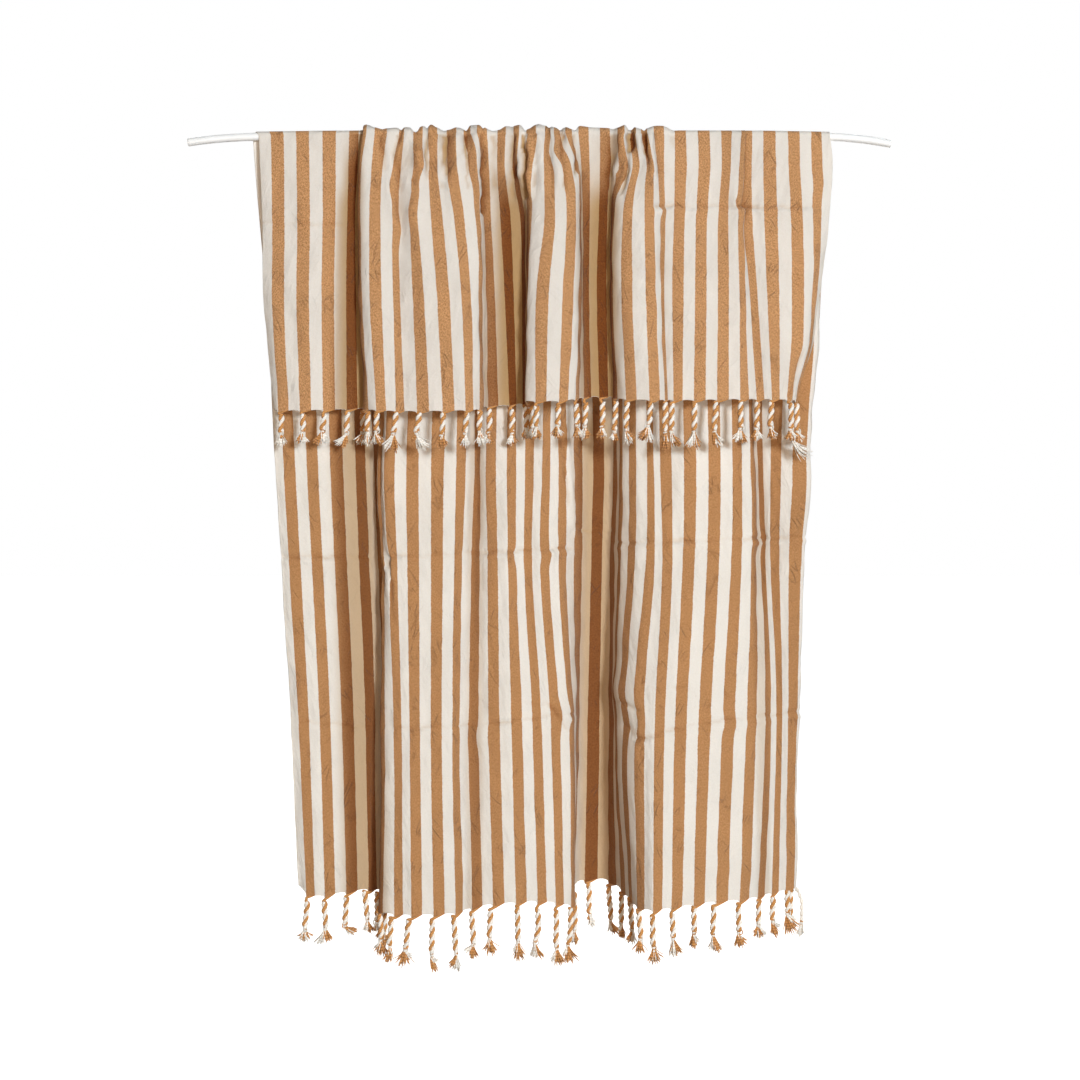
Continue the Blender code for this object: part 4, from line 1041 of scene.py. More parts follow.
@dataclass(frozen=True)
class Yarn:
    """Twisted cotton yarn of one colour.

    Args:
        name: name of the material.
        light: colour of its outer threads.
        deep: its colour in the grooves between its threads, a painted shade, and in its random darker fuzz.
        strands: number of its threads.
        lay: length in which a thread goes once round.
    """

    name: str
    light: Colour
    deep: Colour
    strands: int = 5
    lay: float = 0.0042

    def material(self) -> bpy.types.Material:
        """Material of the yarn: fine threads laid at a slant around it."""
        s = Shader(self.name)
        round_it, along = s.split(s.coords("cloth"))
        turn = s.math("MULTIPLY", round_it, 2 * math.pi * self.strands)
        slant = s.math("MULTIPLY_ADD", along, 2 * math.pi / self.lay, turn)
        strand = s.math("MULTIPLY_ADD", s.math("SINE", slant), 0.5, 0.5)
        place = s.place()
        fuzz, drift = s.noise(place, 1300.0), s.noise(place, 120.0)
        share = s.math("ADD", s.math("MULTIPLY", strand, 0.55), s.math("MULTIPLY", fuzz, 0.55))
        # Painted shade in the grooves between the threads, mixed with a random fuzz of darker fibres.
        colour = s.mix(s.ramp(share, 0.15, 0.80), self.deep, self.light)
        tone = s.math("MULTIPLY_ADD", drift, 0.24, 0.88)
        return s.dressed({
            "Base Color": s.vector("SCALE", {0: colour, "Scale": tone}),
            "Normal": s.bump(fuzz, 0.00010, s.bump(strand, 0.00026)),
            "Roughness": s.math("MULTIPLY_ADD", fuzz, -0.10, 0.95),
            "Specular IOR Level": 0.18, "Sheen Weight": 0.25,
        })


DARK_YARN = Yarn("dark_yarn", (0.68, 0.335, 0.110, 1.0), (0.40, 0.165, 0.045, 1.0))
PALE_YARN = Yarn("pale_yarn", (0.95, 0.92, 0.87, 1.0), (0.82, 0.76, 0.68, 1.0))


@dataclass(frozen=True)
class SatinPaint:
    """Satin white paint with a faint orange peel.

    Args:
        colour: the paint's colour.
        worn: its colour where it is a little duller.
        roughness: its roughness.
    """

    colour: Colour = (0.93, 0.935, 0.94, 1.0)
    worn: Colour = (0.89, 0.89, 0.885, 1.0)
    roughness: float = 0.34

    def material(self) -> bpy.types.Material:
        """Material of the painted rod."""
        s = Shader("white_rod")
        place = s.place()
        drift = s.noise(place, 14.0, 3.0)
        return s.dressed({
            "Base Color": s.mix(s.ramp(drift, 0.35, 0.70), self.colour, self.worn),
            "Roughness": s.math("MULTIPLY_ADD", drift, 0.12, self.roughness),
            "Normal": s.bump(s.noise(place, 900.0), 0.00003), "Coat Weight": 0.2,
        })


@dataclass(frozen=True)
class PaleFloor:
    """Plain pale studio floor.

    Args:
        colour: colour of the floor.
        lighter: colour of its lighter patches.
        glow: strength of the light that it gives off by itself.
    """

    colour: Colour = (0.90, 0.90, 0.90, 1.0)
    lighter: Colour = (0.92, 0.92, 0.92, 1.0)
    glow: float = 0.98

    def material(self) -> bpy.types.Material:
        """Material of the floor."""
        s = Shader("pale_floor")
        return s.dressed({
            "Base Color": s.mix(s.noise(s.place(), 0.8), self.colour, self.lighter), "Roughness": 0.9,
            "Emission Color": (1.0, 1.0, 1.0, 1.0), "Emission Strength": self.glow,
        })


def spread(count: int, bands: tuple[tuple[float, float, float], ...]) -> np.ndarray:
    """Shares from 0 to 1 that lie closer together in some bands.

    Args:
        count: number of steps.
        bands: centre, half width and gain of each band.

    Returns:
        The shares, both ends among them.
    """
    fine = np.linspace(0.0, 1.0, 4001)
    weight = np.ones_like(fine)
    for centre, half, gain in bands:
        weight += gain * smooth((half - np.abs(fine - centre)) / (0.4 * half) + 0.5)
    whole = np.concatenate([[0.0], np.cumsum(0.5 * (weight[1:] + weight[:-1]))])
    return np.interp(np.linspace(0.0, whole[-1], count + 1), whole, fine)


# Where the rows of the two falls lie closer: at the rod, the pressed lines and the hem.
FRONT_BANDS = ((0.0, 0.14, 1.2), (0.29, 0.06, 1.6), (1.0, 0.07, 2.6))
BACK_BANDS = ((0.0, 0.05, 1.4), (0.535, 0.045, 2.4), (0.757, 0.045, 2.4), (1.0, 0.03, 4.0))

# Waves of the washed cloth: length in metres, height and number of each kind.
WAVES = ((0.110, 0.9, 9), (0.045, 0.55, 16), (0.024, 0.30, 22))

# Rings of a turned edge: how far past the edge and how far behind it, in thicknesses of the lip.
LIP_RINGS = ((0.0, 0.0), (0.45, 0.25), (0.40, 0.80), (-1.2, 1.0))


@dataclass
class TowelCloth:
    """The cloth: one thin sheet that falls in front of the rod and, longer, behind it.

    Args:
        shares: places of the columns within a stripe pair.
        front_steps: rows of faces of the front fall.
        saddle_steps: rows of faces over the rod.
        back_steps: rows of faces of the back fall.
        ripple: height of the unevenness of the cloth, in metres.
        calm: length beside the rod that has no ripples, in metres.
        waking: length over which they begin beyond it.
        lip: thickness of the hems and selvedges.
        tied_front: how far the front hem is drawn down where a dark stripe is tied, in units.
        tied_back: the same of the back hem.
        scalloped: length of cloth above a hem that follows its scallops, in metres.
        leant: share of a fall in which it comes away from the rod.
        pressing: share of the room before the rod that creases may take up.
        freer: how much deeper a crease may be for each metre that it lies lower.
        crest_press: share of their depth that the front creases keep over the rod.
        open_behind: how much of the painted shade between folds is left over the rod and behind it.
        crease_dark: share of the light that a deep crease loses, painted into its colour as shade.
        crease_deep: depth of a crease that loses so much, in metres.
        finish: how its cotton looks.
        front: the folds of the front fall.
        back: the folds of the back fall.
    """

    shares: tuple[float, ...] = (0.0, 0.11, 0.22, 0.33, 0.44, 0.50, 0.60, 0.70, 0.80, 0.90)
    front_steps: int = 88
    saddle_steps: int = 16
    back_steps: int = 172
    ripple: float = 0.0011
    calm: float = 0.012
    waking: float = 0.05
    lip: float = 0.0011
    tied_front: float = 2.4
    tied_back: float = 4.4
    scalloped: float = 0.022
    leant: float = 0.2
    pressing: float = 0.85
    freer: float = 0.35
    crest_press: float = 0.7
    open_behind: float = 0.22
    crease_dark: float = 0.55
    crease_deep: float = 0.0055
    finish: StripedCotton = field(default_factory=StripedCotton)
    front: FoldTable = FoldTable(FRONT, FRONT_LEVELS, LYING)
    back: FoldTable = FoldTable(BACK, BACK_LEVELS, 0.0)

    def scallop(self, across: np.ndarray, fall: Fall) -> np.ndarray:
        """How far the hem hangs below its line, in units: lowest where a dark stripe is tied.

        Args:
            across: places across the cloth in stripe pairs.
            fall: the fall whose hem it is.

        Returns:
            The extra drop of each place.
        """
        share = np.mod(across, 1.0)
        tied = self.tied_front if fall is Fall.FRONT else self.tied_back
        pale = 0.8 * share / 0.5 - 0.7 * np.sin(math.pi * np.clip(share / 0.5, 0.0, 1.0))
        dark = tied * np.clip(1.0 - (share - 0.5) / 0.5, 0.0, 1.0) ** 0.9
        return np.where(share < 0.499, pale, dark)

    def fall_lines(self, across: np.ndarray, shares: np.ndarray, fall: Fall) -> tuple[np.ndarray, ...]:
        """A fall of the cloth without its creases.

        Args:
            across: places across the cloth in stripe pairs.
            shares: shares of the drop, from the rod (0) to the hem (1).
            fall: which fall.

        Returns:
            Its points, and their drawing positions right and down.
        """
        xs, outs, hem, _, skew, _ = self.front.at(across)
        levels, start, drop, aside = FRONT_LEVELS, outs[:, 0], FRONT_LONG, 0.0
        if fall is Fall.BACK:
            top, start = xs[:, :1] + skew[:, None], self.reach_behind(start)
            xs, outs, hem, _, _, swell = self.back.at(across)
            xs, outs = np.concatenate([top, xs], axis=1), np.concatenate([start[:, None], outs], axis=1)
            levels, drop = BACK_LEVELS, BACK_LONG
            aside = swell[:, None] * np.sin(math.pi * np.minimum(1.0, shares / levels[1])) ** 2
        x, out = through(levels, xs, shares) + aside, through(levels, outs, shares)
        y0 = rod_axis_y(xs[:, 0])
        y = y0[:, None] + (hem - y0)[:, None] * shares
        moved = np.zeros((2, *x.shape))
        for nudge in NUDGES[fall]:
            (mid_x, mid_y), (half_x, half_y) = nudge.place, nudge.reach
            near = np.exp(-(((x - mid_x) / half_x) ** 2 + ((y - mid_y) / half_y) ** 2))
            moved += np.stack([nudge.aside * near, nudge.out * near])
        x, out = x + moved[0], out + moved[1] * smooth(shares / 0.08)
        y = y + self.scallop(across, fall)[:, None] * smooth(1.0 - (1.0 - shares) * drop / self.scalloped)
        aside = self.leaving(xs[:, 0], start) - drawn(xs[:, 0], y0, start)
        eased = np.maximum(0.0, 1.0 - shares / self.leant) ** 2
        return drawn(x, y, out) + aside[:, None] * eased[None, :, None], x, y

    @staticmethod
    def reach_behind(out: np.ndarray) -> np.ndarray:
        """Depth behind the axis where the cloth leaves the rod at the back."""
        return -(LYING + BEHIND * (out - LYING))

    @staticmethod
    def leaving(x: np.ndarray, out: np.ndarray) -> np.ndarray:
        """Where the cloth leaves the rod, level with the rod's axis."""
        return drawn(x, rod_axis_y(x), 0.0) - (out * UNIT)[..., None] * AWAY

    def saddle_lines(self, across: np.ndarray, turns: np.ndarray) -> np.ndarray:
        """The cloth over the rod.

        Args:
            across: places across the cloth in stripe pairs.
            turns: turns from the front (0) to the back (1).

        Returns:
            Its points.
        """
        xs, outs, _, lift, skew, _ = self.front.at(across)
        lift = np.where(xs[:, 0] < CREST[0][0], lift, np.interp(xs[:, 0], *np.array(CREST).T))
        x = xs[:, :1] + skew[:, None] * turns
        top = drawn(x, rod_axis_y(x), 0.0)
        level, high = np.cos(math.pi * turns), np.sin(math.pi * turns)
        near, far = outs[:, :1], -self.reach_behind(outs[:, :1])
        top[..., 1] -= np.where(turns[None] < 0.5, near, far) * level * UNIT
        top[..., 2] += (LYING + lift)[:, None] * UNIT * high
        room = np.maximum(0.0, near - LYING) * np.cos(0.5 * math.pi * turns) ** 2
        room = self.pressing * UNIT * (room + lift[:, None] * high ** 2)
        deep = np.minimum(self.pressed(Fall.FRONT, x, np.full_like(x, CREST_Y)), room)
        deep = self.crest_press * np.maximum(deep * smooth((1.0 - turns) / 0.5), 0.0)
        top[..., 1] += deep * level
        top[..., 2] -= deep * high
        return top

    def pressed(self, fall: Fall, x: np.ndarray, y: np.ndarray) -> np.ndarray:
        """Depth of the creases of a fall, each of which wavers by its number.

        Args:
            fall: the fall.
            x: drawing positions right.
            y: drawing positions down.

        Returns:
            The depth away from the viewer at each place.
        """
        deep = np.zeros_like(x)
        first = 0 if fall is Fall.FRONT else len(CREASES[Fall.FRONT])
        for number, crease in enumerate(CREASES[fall], start=first):
            (x0, y0), (x1, y1) = crease.start, crease.end
            long = math.hypot(x1 - x0, y1 - y0)
            run = ((x - x0) * (x1 - x0) + (y - y0) * (y1 - y0)) / long
            aside = ((y - y0) * (x1 - x0) - (x - x0) * (y1 - y0)) / long
            wave = 0.9 * np.sin(0.19 * run + number) + 0.5 * np.sin(0.47 * run + 2.0 * number)
            fade = smooth(run / 8.0 + 0.3) * smooth((long - run) / 8.0 + 0.3)
            uneven = 0.75 + 0.35 * np.sin(0.11 * run + 1.7 * number) * np.sin(0.05 * run + number)
            deep += crease.deep * uneven * fade * np.exp(-((aside - wave) / crease.wide) ** 2)
        return deep

    def ripples(self, coords: np.ndarray) -> np.ndarray:
        """Unevenness of the washed cloth at its coordinates.

        Args:
            coords: cloth coordinates in metres.

        Returns:
            Heights from about -1 to 1.
        """
        rng = np.random.default_rng(7)
        height = np.zeros(coords.shape[:2])
        for size, weight, count in WAVES:
            for _ in range(count):
                angle = rng.uniform(0.0, math.pi)
                wave = 2 * math.pi / (size * rng.uniform(0.7, 1.5))
                across, along = math.cos(angle), 0.55 * math.sin(angle)
                phase = rng.uniform(0.0, 2 * math.pi)
                place = coords[..., 0] * across + coords[..., 1] * along
                height += weight * np.sin(wave * place + phase) / count ** 0.5
        return height

    def build(self) -> bpy.types.Object:
        """Make the cloth.

        Returns:
            The sheet, with its hems and selvedges.
        """
        columns = [k + share for k in range(PAIRS + 1) for share in self.shares]
        across = np.array([place for place in columns if place < ACROSS - 0.01] + [ACROSS])
        front_shares = spread(self.front_steps, FRONT_BANDS)[::-1]
        turns = np.linspace(0.0, 1.0, self.saddle_steps + 1)
        back_shares = spread(self.back_steps, BACK_BANDS)
        front, front_x, front_y = self.fall_lines(across, front_shares, Fall.FRONT)
        back, back_x, back_y = self.fall_lines(across, back_shares, Fall.BACK)
        front_shares, front_x, front_y = front_shares[:-1], front_x[:, :-1], front_y[:, :-1]
        back_shares, back_x, back_y = back_shares[1:], back_x[:, 1:], back_y[:, 1:]
        points = np.concatenate([front[:, :-1], self.saddle_lines(across, turns), back[:, 1:]], axis=1)
        along = np.concatenate([
            (1.0 - front_shares) * FRONT_LONG, FRONT_LONG + turns * SADDLE_LONG,
            FRONT_LONG + SADDLE_LONG + back_shares * BACK_LONG,
        ])
        coords = np.stack(np.broadcast_arrays((across * PAIR)[:, None], along[None]), axis=-1)

        off_rod = np.concatenate([front_shares * FRONT_LONG, 0.0 * turns, back_shares * BACK_LONG])
        raised = self.ripple * self.ripples(coords) * smooth((off_rod - self.calm) / self.waking)
        room = np.maximum(0.0, self.front.at(across)[1][:, :1] - LYING) * UNIT * self.pressing
        room = room + self.freer * FRONT_LONG * front_shares[None]
        near = np.minimum(self.pressed(Fall.FRONT, front_x, front_y), room)
        far = self.pressed(Fall.BACK, back_x, back_y)
        front_part, back_part = np.s_[:, :len(front_shares)], np.s_[:, -len(back_shares):]
        raised[front_part] -= near
        raised[back_part] += far
        points = points + self.outward(points) * raised[..., None]

        # Painted shade: how deep a point lies between folds, the listed shade strips and the deep creases
        # darken and warm its colour.
        painted_shades = self.painted_shades(points)
        painted_shades[:, self.front_steps + 1:] *= self.open_behind
        for fall, part, deep, x, y in (
            (Fall.FRONT, front_part, near, front_x, front_y), (Fall.BACK, back_part, far, back_x, back_y),
        ):
            kept = (1.0 - self.shade_strips(fall, x, y)) * (1.0 - self.crease_dark * smooth(deep / self.crease_deep))
            painted_shades[part] = 1.0 - (1.0 - painted_shades[part]) * kept
        draft = Draft()
        draft.grid(points, coords, painted_shades=painted_shades)
        self.add_lips(draft, points, coords)
        return draft.made("draped_towel", [self.finish.material()])

    @staticmethod
    def painted_shades(points: np.ndarray) -> np.ndarray:
        """Painted shade of each point of the sheet, from how deep it lies between the folds beside it.

        Args:
            points: grid of the sheet.

        Returns:
            0 in the open to 1 where folds stand close on both sides.
        """
        # Folds to the right weigh more in the painted shade, as the key light comes from the right.
        sill, reach, from_right = 0.003, 0.14, 0.64
        x, depth = points[..., 0], -points[..., 1]
        deep = np.zeros(x.shape)
        for row in range(x.shape[1]):
            aside = x[None, :, row] - x[:, None, row]
            ahead = np.maximum(depth[None, :, row] - depth[:, None, row] - sill, 0.0)
            wall = ahead / (np.hypot(ahead, aside) + 1e-6) * np.exp(-np.abs(aside) / reach)
            right = np.max(np.where(aside > 0.0, wall, 0.0), axis=1)
            left = np.max(np.where(aside < 0.0, wall, 0.0), axis=1)
            deep[:, row] = from_right * right + (1.0 - from_right) * left
        return smooth((deep - 0.10) / 0.60)

    @staticmethod
    def shade_strips(fall: Fall, x: np.ndarray, y: np.ndarray) -> np.ndarray:
        """Share of the light that the painted shade strips of a fall take from its colour.

        Args:
            fall: the fall.
            x: drawing positions right.
            y: drawing positions down.

        Returns:
            The share at each place.
        """
        kept = np.ones_like(x)
        for shade_strip in SHADE_STRIPS[fall]:
            share = np.clip((y - shade_strip.start[1]) / (shade_strip.end[1] - shade_strip.start[1]), 0.0, 1.0)
            middle = shade_strip.start[0] + (shade_strip.end[0] - shade_strip.start[0]) * share
            begun = smooth((y - shade_strip.start[1]) / 40.0 + 0.4)
            kept *= 1.0 - shade_strip.depth * begun * np.exp(-((x - middle) / shade_strip.reach) ** 4)
        return 1.0 - kept

    @staticmethod
    def outward(points: np.ndarray) -> np.ndarray:
        """Directions square to the sheet, on the side that faces away from the rod."""
        return unit(np.cross(np.gradient(points, axis=0), np.gradient(points, axis=1)))

    def add_lips(self, draft: Draft, points: np.ndarray, coords: np.ndarray) -> None:
        """Turn the edges over, so that hems and selvedges have their thickness.

        Args:
            draft: mesh that they are added to.
            points: grid of the sheet.
            coords: its cloth coordinates.
        """
        square = self.outward(points)
        edges = (
            (points[:, 0], points[:, 1], square[:, 0], coords[:, 0], False),
            (points[:, -1], points[:, -2], -square[:, -1], coords[:, -1], True),
            (points[0], points[1], square[0], coords[0], True),
            (points[-1], points[-2], square[-1], coords[-1], False),
        )
        for edge, inner, facing, place, turned in edges:
            away = unit(edge - inner)
            rings = [edge + away * (self.lip * past) - facing * (self.lip * back) for past, back in LIP_RINGS]
            grid = np.stack(rings if turned else rings[::-1])
            draft.grid(grid, np.stack([place] * len(rings)))

    def hem(self, across: float, fall: Fall) -> tuple[np.ndarray, float]:
        """Point of a hem and its depth.

        Args:
            across: place across the cloth in stripe pairs.
            fall: which fall.

        Returns:
            The point, and how far in front of the rod axis it is, in units.
        """
        point = self.fall_lines(np.array([across]), np.array([1.0]), fall)[0][0, 0]
        return point, -point[1] / UNIT


@dataclass
class TwistedFringe:
    """The warp ends of a hem, twisted in two plies and knotted: a tassel for each dark stripe.

    Args:
        cloth: the cloth that it hangs from.
        fall: the fall whose hem it is on.
        tassels: its tassels.
        lone: its pale tassel at the right selvedge.
        seed: start of its small random differences.
        ply: radius of a ply, in metres.
        orbit: distance of the plies' middles from the rope's axis.
        pitch: length of a full turn of the plies.
        thread: radius of a loose thread.
        steps: number of rings along a rope.
        corner: how far a stripe's tied corner lies from the rope's top, right and down, in units.
        dark_threads: number of loose dark threads of a tassel.
        pale_threads: number of its loose pale threads.
        lone_threads: number of loose threads of the lone pale tassel.
        slim: thickness of the pale tassel's rope over that of the others.
        knot: radius of the turns of a knot.
        knot_yarn: radius of the yarn of a knot.
        loop_yarn: radius of the yarn of the small loop beside it.
        dark_slot: number of the dark yarn's finish.
        pale_slot: number of the pale yarn's finish.
    """

    cloth: TowelCloth
    fall: Fall
    tassels: tuple[Tassel, ...]
    lone: LoneTassel
    seed: int
    ply: float = 0.00262
    orbit: float = 0.00220
    pitch: float = 0.0195
    thread: float = 0.00078
    steps: int = 45
    corner: tuple[float, float] = (-1.6, -0.9)
    dark_threads: int = 21
    pale_threads: int = 17
    lone_threads: int = 20
    slim: float = 0.66
    knot: float = 0.0022
    knot_yarn: float = 0.00135
    loop_yarn: float = 0.00085
    dark_slot: int = 0
    pale_slot: int = 1

    def build(self) -> bpy.types.Object:
        """Make the fringe.

        Returns:
            All of its tassels as one piece.
        """
        draft = Draft()
        rng = np.random.default_rng(self.seed)
        for tassel in self.tassels:
            self.add_tassel(draft, tassel, rng)
        self.add_pale_end(draft, rng)
        return draft.made(f"twisted_fringe_{self.fall.value}", [DARK_YARN.material(), PALE_YARN.material()])

    def add_tassel(self, draft: Draft, tassel: Tassel, rng: np.random.Generator) -> None:
        """Add one tassel: its rolled root, rope, knot, loop and loose threads.

        Args:
            draft: mesh that it is added to.
            tassel: its row of the table.
            rng: source of its small differences.
        """
        left, out = self.cloth.hem(tassel.stripe - 0.47, self.fall)
        out -= tassel.behind
        middle, _ = self.cloth.hem(tassel.stripe - 0.25, self.fall)
        right, _ = self.cloth.hem(tassel.stripe - 0.02, self.fall)
        knob = drawn(tassel.top[0] + self.corner[0], tassel.top[1] + self.corner[1], out)
        self.add_root(draft, np.stack([right, middle, left, knob]))
        path = self.rope_path(tassel, out)
        self.add_rope(draft, path, rng.uniform(0.0, 2 * math.pi), (self.dark_slot, self.pale_slot), 1.0)
        end, down = path[-1], unit(path[-1] - path[-4])
        self.add_knot(draft, end, down, tassel.loop, rng)
        self.add_tuft(draft, end + down * 0.002, tassel.dark, self.dark_slot, self.dark_threads, rng)
        self.add_tuft(draft, end + down * 0.002, tassel.pale, self.pale_slot, self.pale_threads, rng)

    def rope_path(self, tassel: Tassel, out: float) -> np.ndarray:
        """Middle of a tassel's rope.

        Args:
            tassel: the tassel.
            out: its depth in units.

        Returns:
            Points from its top to its knot.
        """
        share = np.linspace(0.0, 1.0, self.steps)
        (x0, y0), (x1, y1) = tassel.top, tassel.end
        sway = 0.7 * math.sin(2.3 * tassel.stripe) * np.sin(2 * math.pi * share) * share
        x = x0 + (x1 - x0) * share + tassel.bow * np.sin(math.pi * share) + sway
        return drawn(x, y0 - 1.0 + (y1 - y0 + 1.0) * share, out)

    def add_root(self, draft: Draft, corners: np.ndarray) -> None:
        """Add the rolled root along the bottom of a dark stripe, thickest at its tied corner.

        Args:
            draft: mesh that it is added to.
            corners: its corners from the stripe's right to the knob.
        """
        share = np.linspace(0.0, 1.0, 17)
        place = (0.0, 0.33, 0.72, 1.0)
        path = softened(np.stack([np.interp(share, place, corners[:, axis]) for axis in range(3)], axis=1))
        radii = np.interp(share, (0.0, 0.3, 0.75, 0.93, 1.0), (0.0006, 0.0014, 0.0023, 0.0025, 0.0024))
        tip = unit(path[-1] - path[-2])
        path = np.concatenate([path, path[-1:] + tip * 0.0013, path[-1:] + tip * 0.0021])
        draft.tube(path, np.concatenate([radii, [0.0017, 0.0002]]), 8, self.dark_slot)

    def add_rope(
        self, draft: Draft, path: np.ndarray, phase: float, slots: tuple[int, int], size: float
    ) -> None:
        """Add two plies twisted about a path.

        Args:
            draft: mesh that they are added to.
            path: the rope's middle.
            phase: angle of the first ply at the top.
            slots: finishes of the two plies.
            size: thickness over the usual one.
        """
        length = way_along(path)
        side = unit(np.cross(unit(np.gradient(path, axis=0)), [AWAY]))
        side *= np.sign(side[:, :1])
        for number, slot in enumerate(slots):
            turn = phase + math.pi * number + 2 * math.pi * length / self.pitch
            orbit = self.orbit * size * (1.0 + 0.06 * np.sin(3.0 * turn / 7.0 + phase))
            middle = path + side * (orbit * np.cos(turn))[:, None] - AWAY * (orbit * np.sin(turn))[:, None]
            radii = self.ply * size * (1.0 + 0.05 * np.sin(length / 0.004 + phase + number))
            radii = radii * np.interp(length / length[-1], (0.0, 0.04, 0.96, 1.0), (0.6, 1.0, 1.0, 0.7))
            draft.tube(middle, radii, 8, slot)

    def add_knot(
        self, draft: Draft, end: np.ndarray, down: np.ndarray, loop: float, rng: np.random.Generator
    ) -> None:
        """Add the knot: a turn of each yarn around the rope's end, and a small pale loop.

        Args:
            draft: mesh that it is added to.
            end: lower end of the rope.
            down: direction of the rope there.
            loop: how far the loop stands to the right, in units; 0 has none.
            rng: source of its small differences.
        """
        turn = np.linspace(0.0, 2 * math.pi, 15)
        side, near = np.array([1.0, 0.0, 0.0]), -AWAY
        across, ahead = np.cos(turn)[:, None], np.sin(turn)[:, None]
        for slot, drop, tilt in ((self.dark_slot, 0.0002, 0.35), (self.pale_slot, 0.0021, -0.30)):
            leaning = side + down * (tilt * rng.uniform(0.5, 1.4))
            ring = end + down * drop + (leaning * across + near * ahead) * self.knot
            draft.tube(ring, np.full(len(turn), self.knot_yarn), 6, slot)
        if loop:
            centre = end + side * (loop * UNIT) + down * 0.0016 + near * 0.0015
            wide = 0.0026 + 0.0006 * rng.uniform()
            ring = centre + (side * across + 1.15 * down * ahead) * wide
            ring = ring + near * (np.sin(turn + 0.6) * 0.0008)[:, None]
            slot = self.pale_slot if rng.uniform() < 0.75 else self.dark_slot
            draft.tube(ring, np.full(len(turn), self.loop_yarn), 6, slot)

    def add_tuft(
        self, draft: Draft, start: np.ndarray, tuft: Tuft, slot: int, count: int, rng: np.random.Generator
    ) -> None:
        """Add loose threads that fan out below a knot.

        Args:
            draft: mesh that they are added to.
            start: where they leave the knot.
            tuft: how they swing, fan out and reach.
            slot: number of their finish.
            count: how many.
            rng: source of their small differences.
        """
        share = np.linspace(0.0, 1.0, 7)[:, None]
        swell = 1.0 + 0.25 * np.sin(share[:, 0] * math.pi)
        for number in range(count):
            fan = 2.0 * (number + 0.5) / count - 1.0
            stray = number in (2, count - 2)
            swing = (tuft.spread + 4.0) * fan * (1.6 if stray else 1.0)
            angle = math.radians(tuft.turn + swing * rng.uniform(0.75, 1.15))
            long = tuft.long * UNIT * rng.uniform(0.72, 1.04) * (1.0 - 0.10 * abs(fan))
            aim = unit(np.array([math.sin(angle), rng.uniform(-0.32, 0.32), -math.cos(angle)]))
            root = start + np.array([fan * 0.0012, rng.uniform(-0.0014, 0.0014), 0.0])
            bend = root + (0.35 * aim + np.array([0.0, 0.0, -0.35])) * (0.5 * long) / 0.7
            tip = root + aim * long + np.array([0.0, 0.0, -0.0008])
            sway = np.array([rng.uniform(-1, 1), rng.uniform(-1, 1), 0.0]) * 0.0009
            path = (1 - share) ** 2 * root + 2 * share * (1 - share) * bend + share ** 2 * tip
            radii = self.thread * swell * (0.65 if stray else 1.0)
            radii[-1] *= 0.5
            draft.tube(path + sway * np.sin(share * math.pi * 1.6), radii, 4, slot, wound=0.0)

    def add_pale_end(self, draft: Draft, rng: np.random.Generator) -> None:
        """Add the lone pale tassel of the right selvedge.

        Args:
            draft: mesh that it is added to.
            rng: source of its small differences.
        """
        _, out = self.cloth.hem(ACROSS - 0.12, self.fall)
        share = np.linspace(0.0, 1.0, self.steps)
        marks = np.linspace(0.0, 1.0, len(self.lone.marks))
        places = np.stack([np.interp(share, marks, line) for line in zip(*self.lone.marks)], axis=1)
        path = drawn(*softened(places, 4).T, out + self.lone.ahead * share)
        self.add_rope(draft, path, 0.4, (self.pale_slot, self.pale_slot), self.slim)
        down = unit(path[-1] - path[-4])
        self.add_knot(draft, path[-1], down, 0.0, rng)
        self.add_tuft(draft, path[-1] + down * 0.001, self.lone.tuft, self.pale_slot, self.lone_threads, rng)


@dataclass
class HangingRod:
    """The thin painted rod, bowed a little, its ends cut square.

    Args:
        radius: its radius.
        chamfer: width of the broken edge of its ends.
        cap: rings of an end: how far past the cut in chamfers, and share of the radius.
        sides: number of its sides.
        steps: number of rings between two marks of its axis.
        finish: how its paint looks.
    """

    radius: float = 0.0060
    chamfer: float = 0.0005
    cap: tuple[tuple[float, float], ...] = ((-1.0, 1.0), (0.0, 0.92), (0.0, 0.80), (-3.0, 0.78), (-3.2, 0.02))
    sides: int = 40
    steps: int = 8
    finish: SatinPaint = field(default_factory=SatinPaint)

    def end(self, tip: np.ndarray, inner: np.ndarray) -> list[tuple[np.ndarray, float]]:
        """Middles and radii of the rings of an end.

        Args:
            tip: the axis at the end.
            inner: the axis a little before it.

        Returns:
            The rings, from the edge of the rod's side to the one deep in its shallow bore.
        """
        away = unit(tip - inner)
        return [(tip + away * (self.chamfer * past), self.radius * share) for past, share in self.cap]

    def build(self) -> bpy.types.Object:
        """Make the rod.

        Returns:
            The rod, with its broken end edges and the shallow bore of its wall.
        """
        marks = np.arange(float(len(ROD_AXIS)))
        fine = np.linspace(0.0, marks[-1], self.steps * (len(marks) - 1) + 1)
        axis = drawn(*through(tuple(marks), np.array(ROD_AXIS).T, fine), 0.0)
        middle = [(point, self.radius) for point in axis[1:-1]]
        rings = self.end(axis[0], axis[1])[::-1] + middle + self.end(axis[-1], axis[-2])
        path = np.array([point for point, _ in rings])
        radii = np.array([radius for _, radius in rings])
        more = len(self.cap) - 1
        along = np.pad(unit(np.gradient(axis, axis=0)), ((more, more), (0, 0)), mode="edge")
        up = unit(np.cross([-AWAY], along))
        ring, turn = around(np.broadcast_to(AWAY, up.shape), up, self.sides)
        coords = np.stack(np.broadcast_arrays(turn[None] * self.radius, path[:, :1]), axis=-1)
        draft = Draft()
        draft.grid(path[:, None] + ring * radii[:, None, None], coords, closed=True)
        return draft.made("painted_rod", [self.finish.material()])


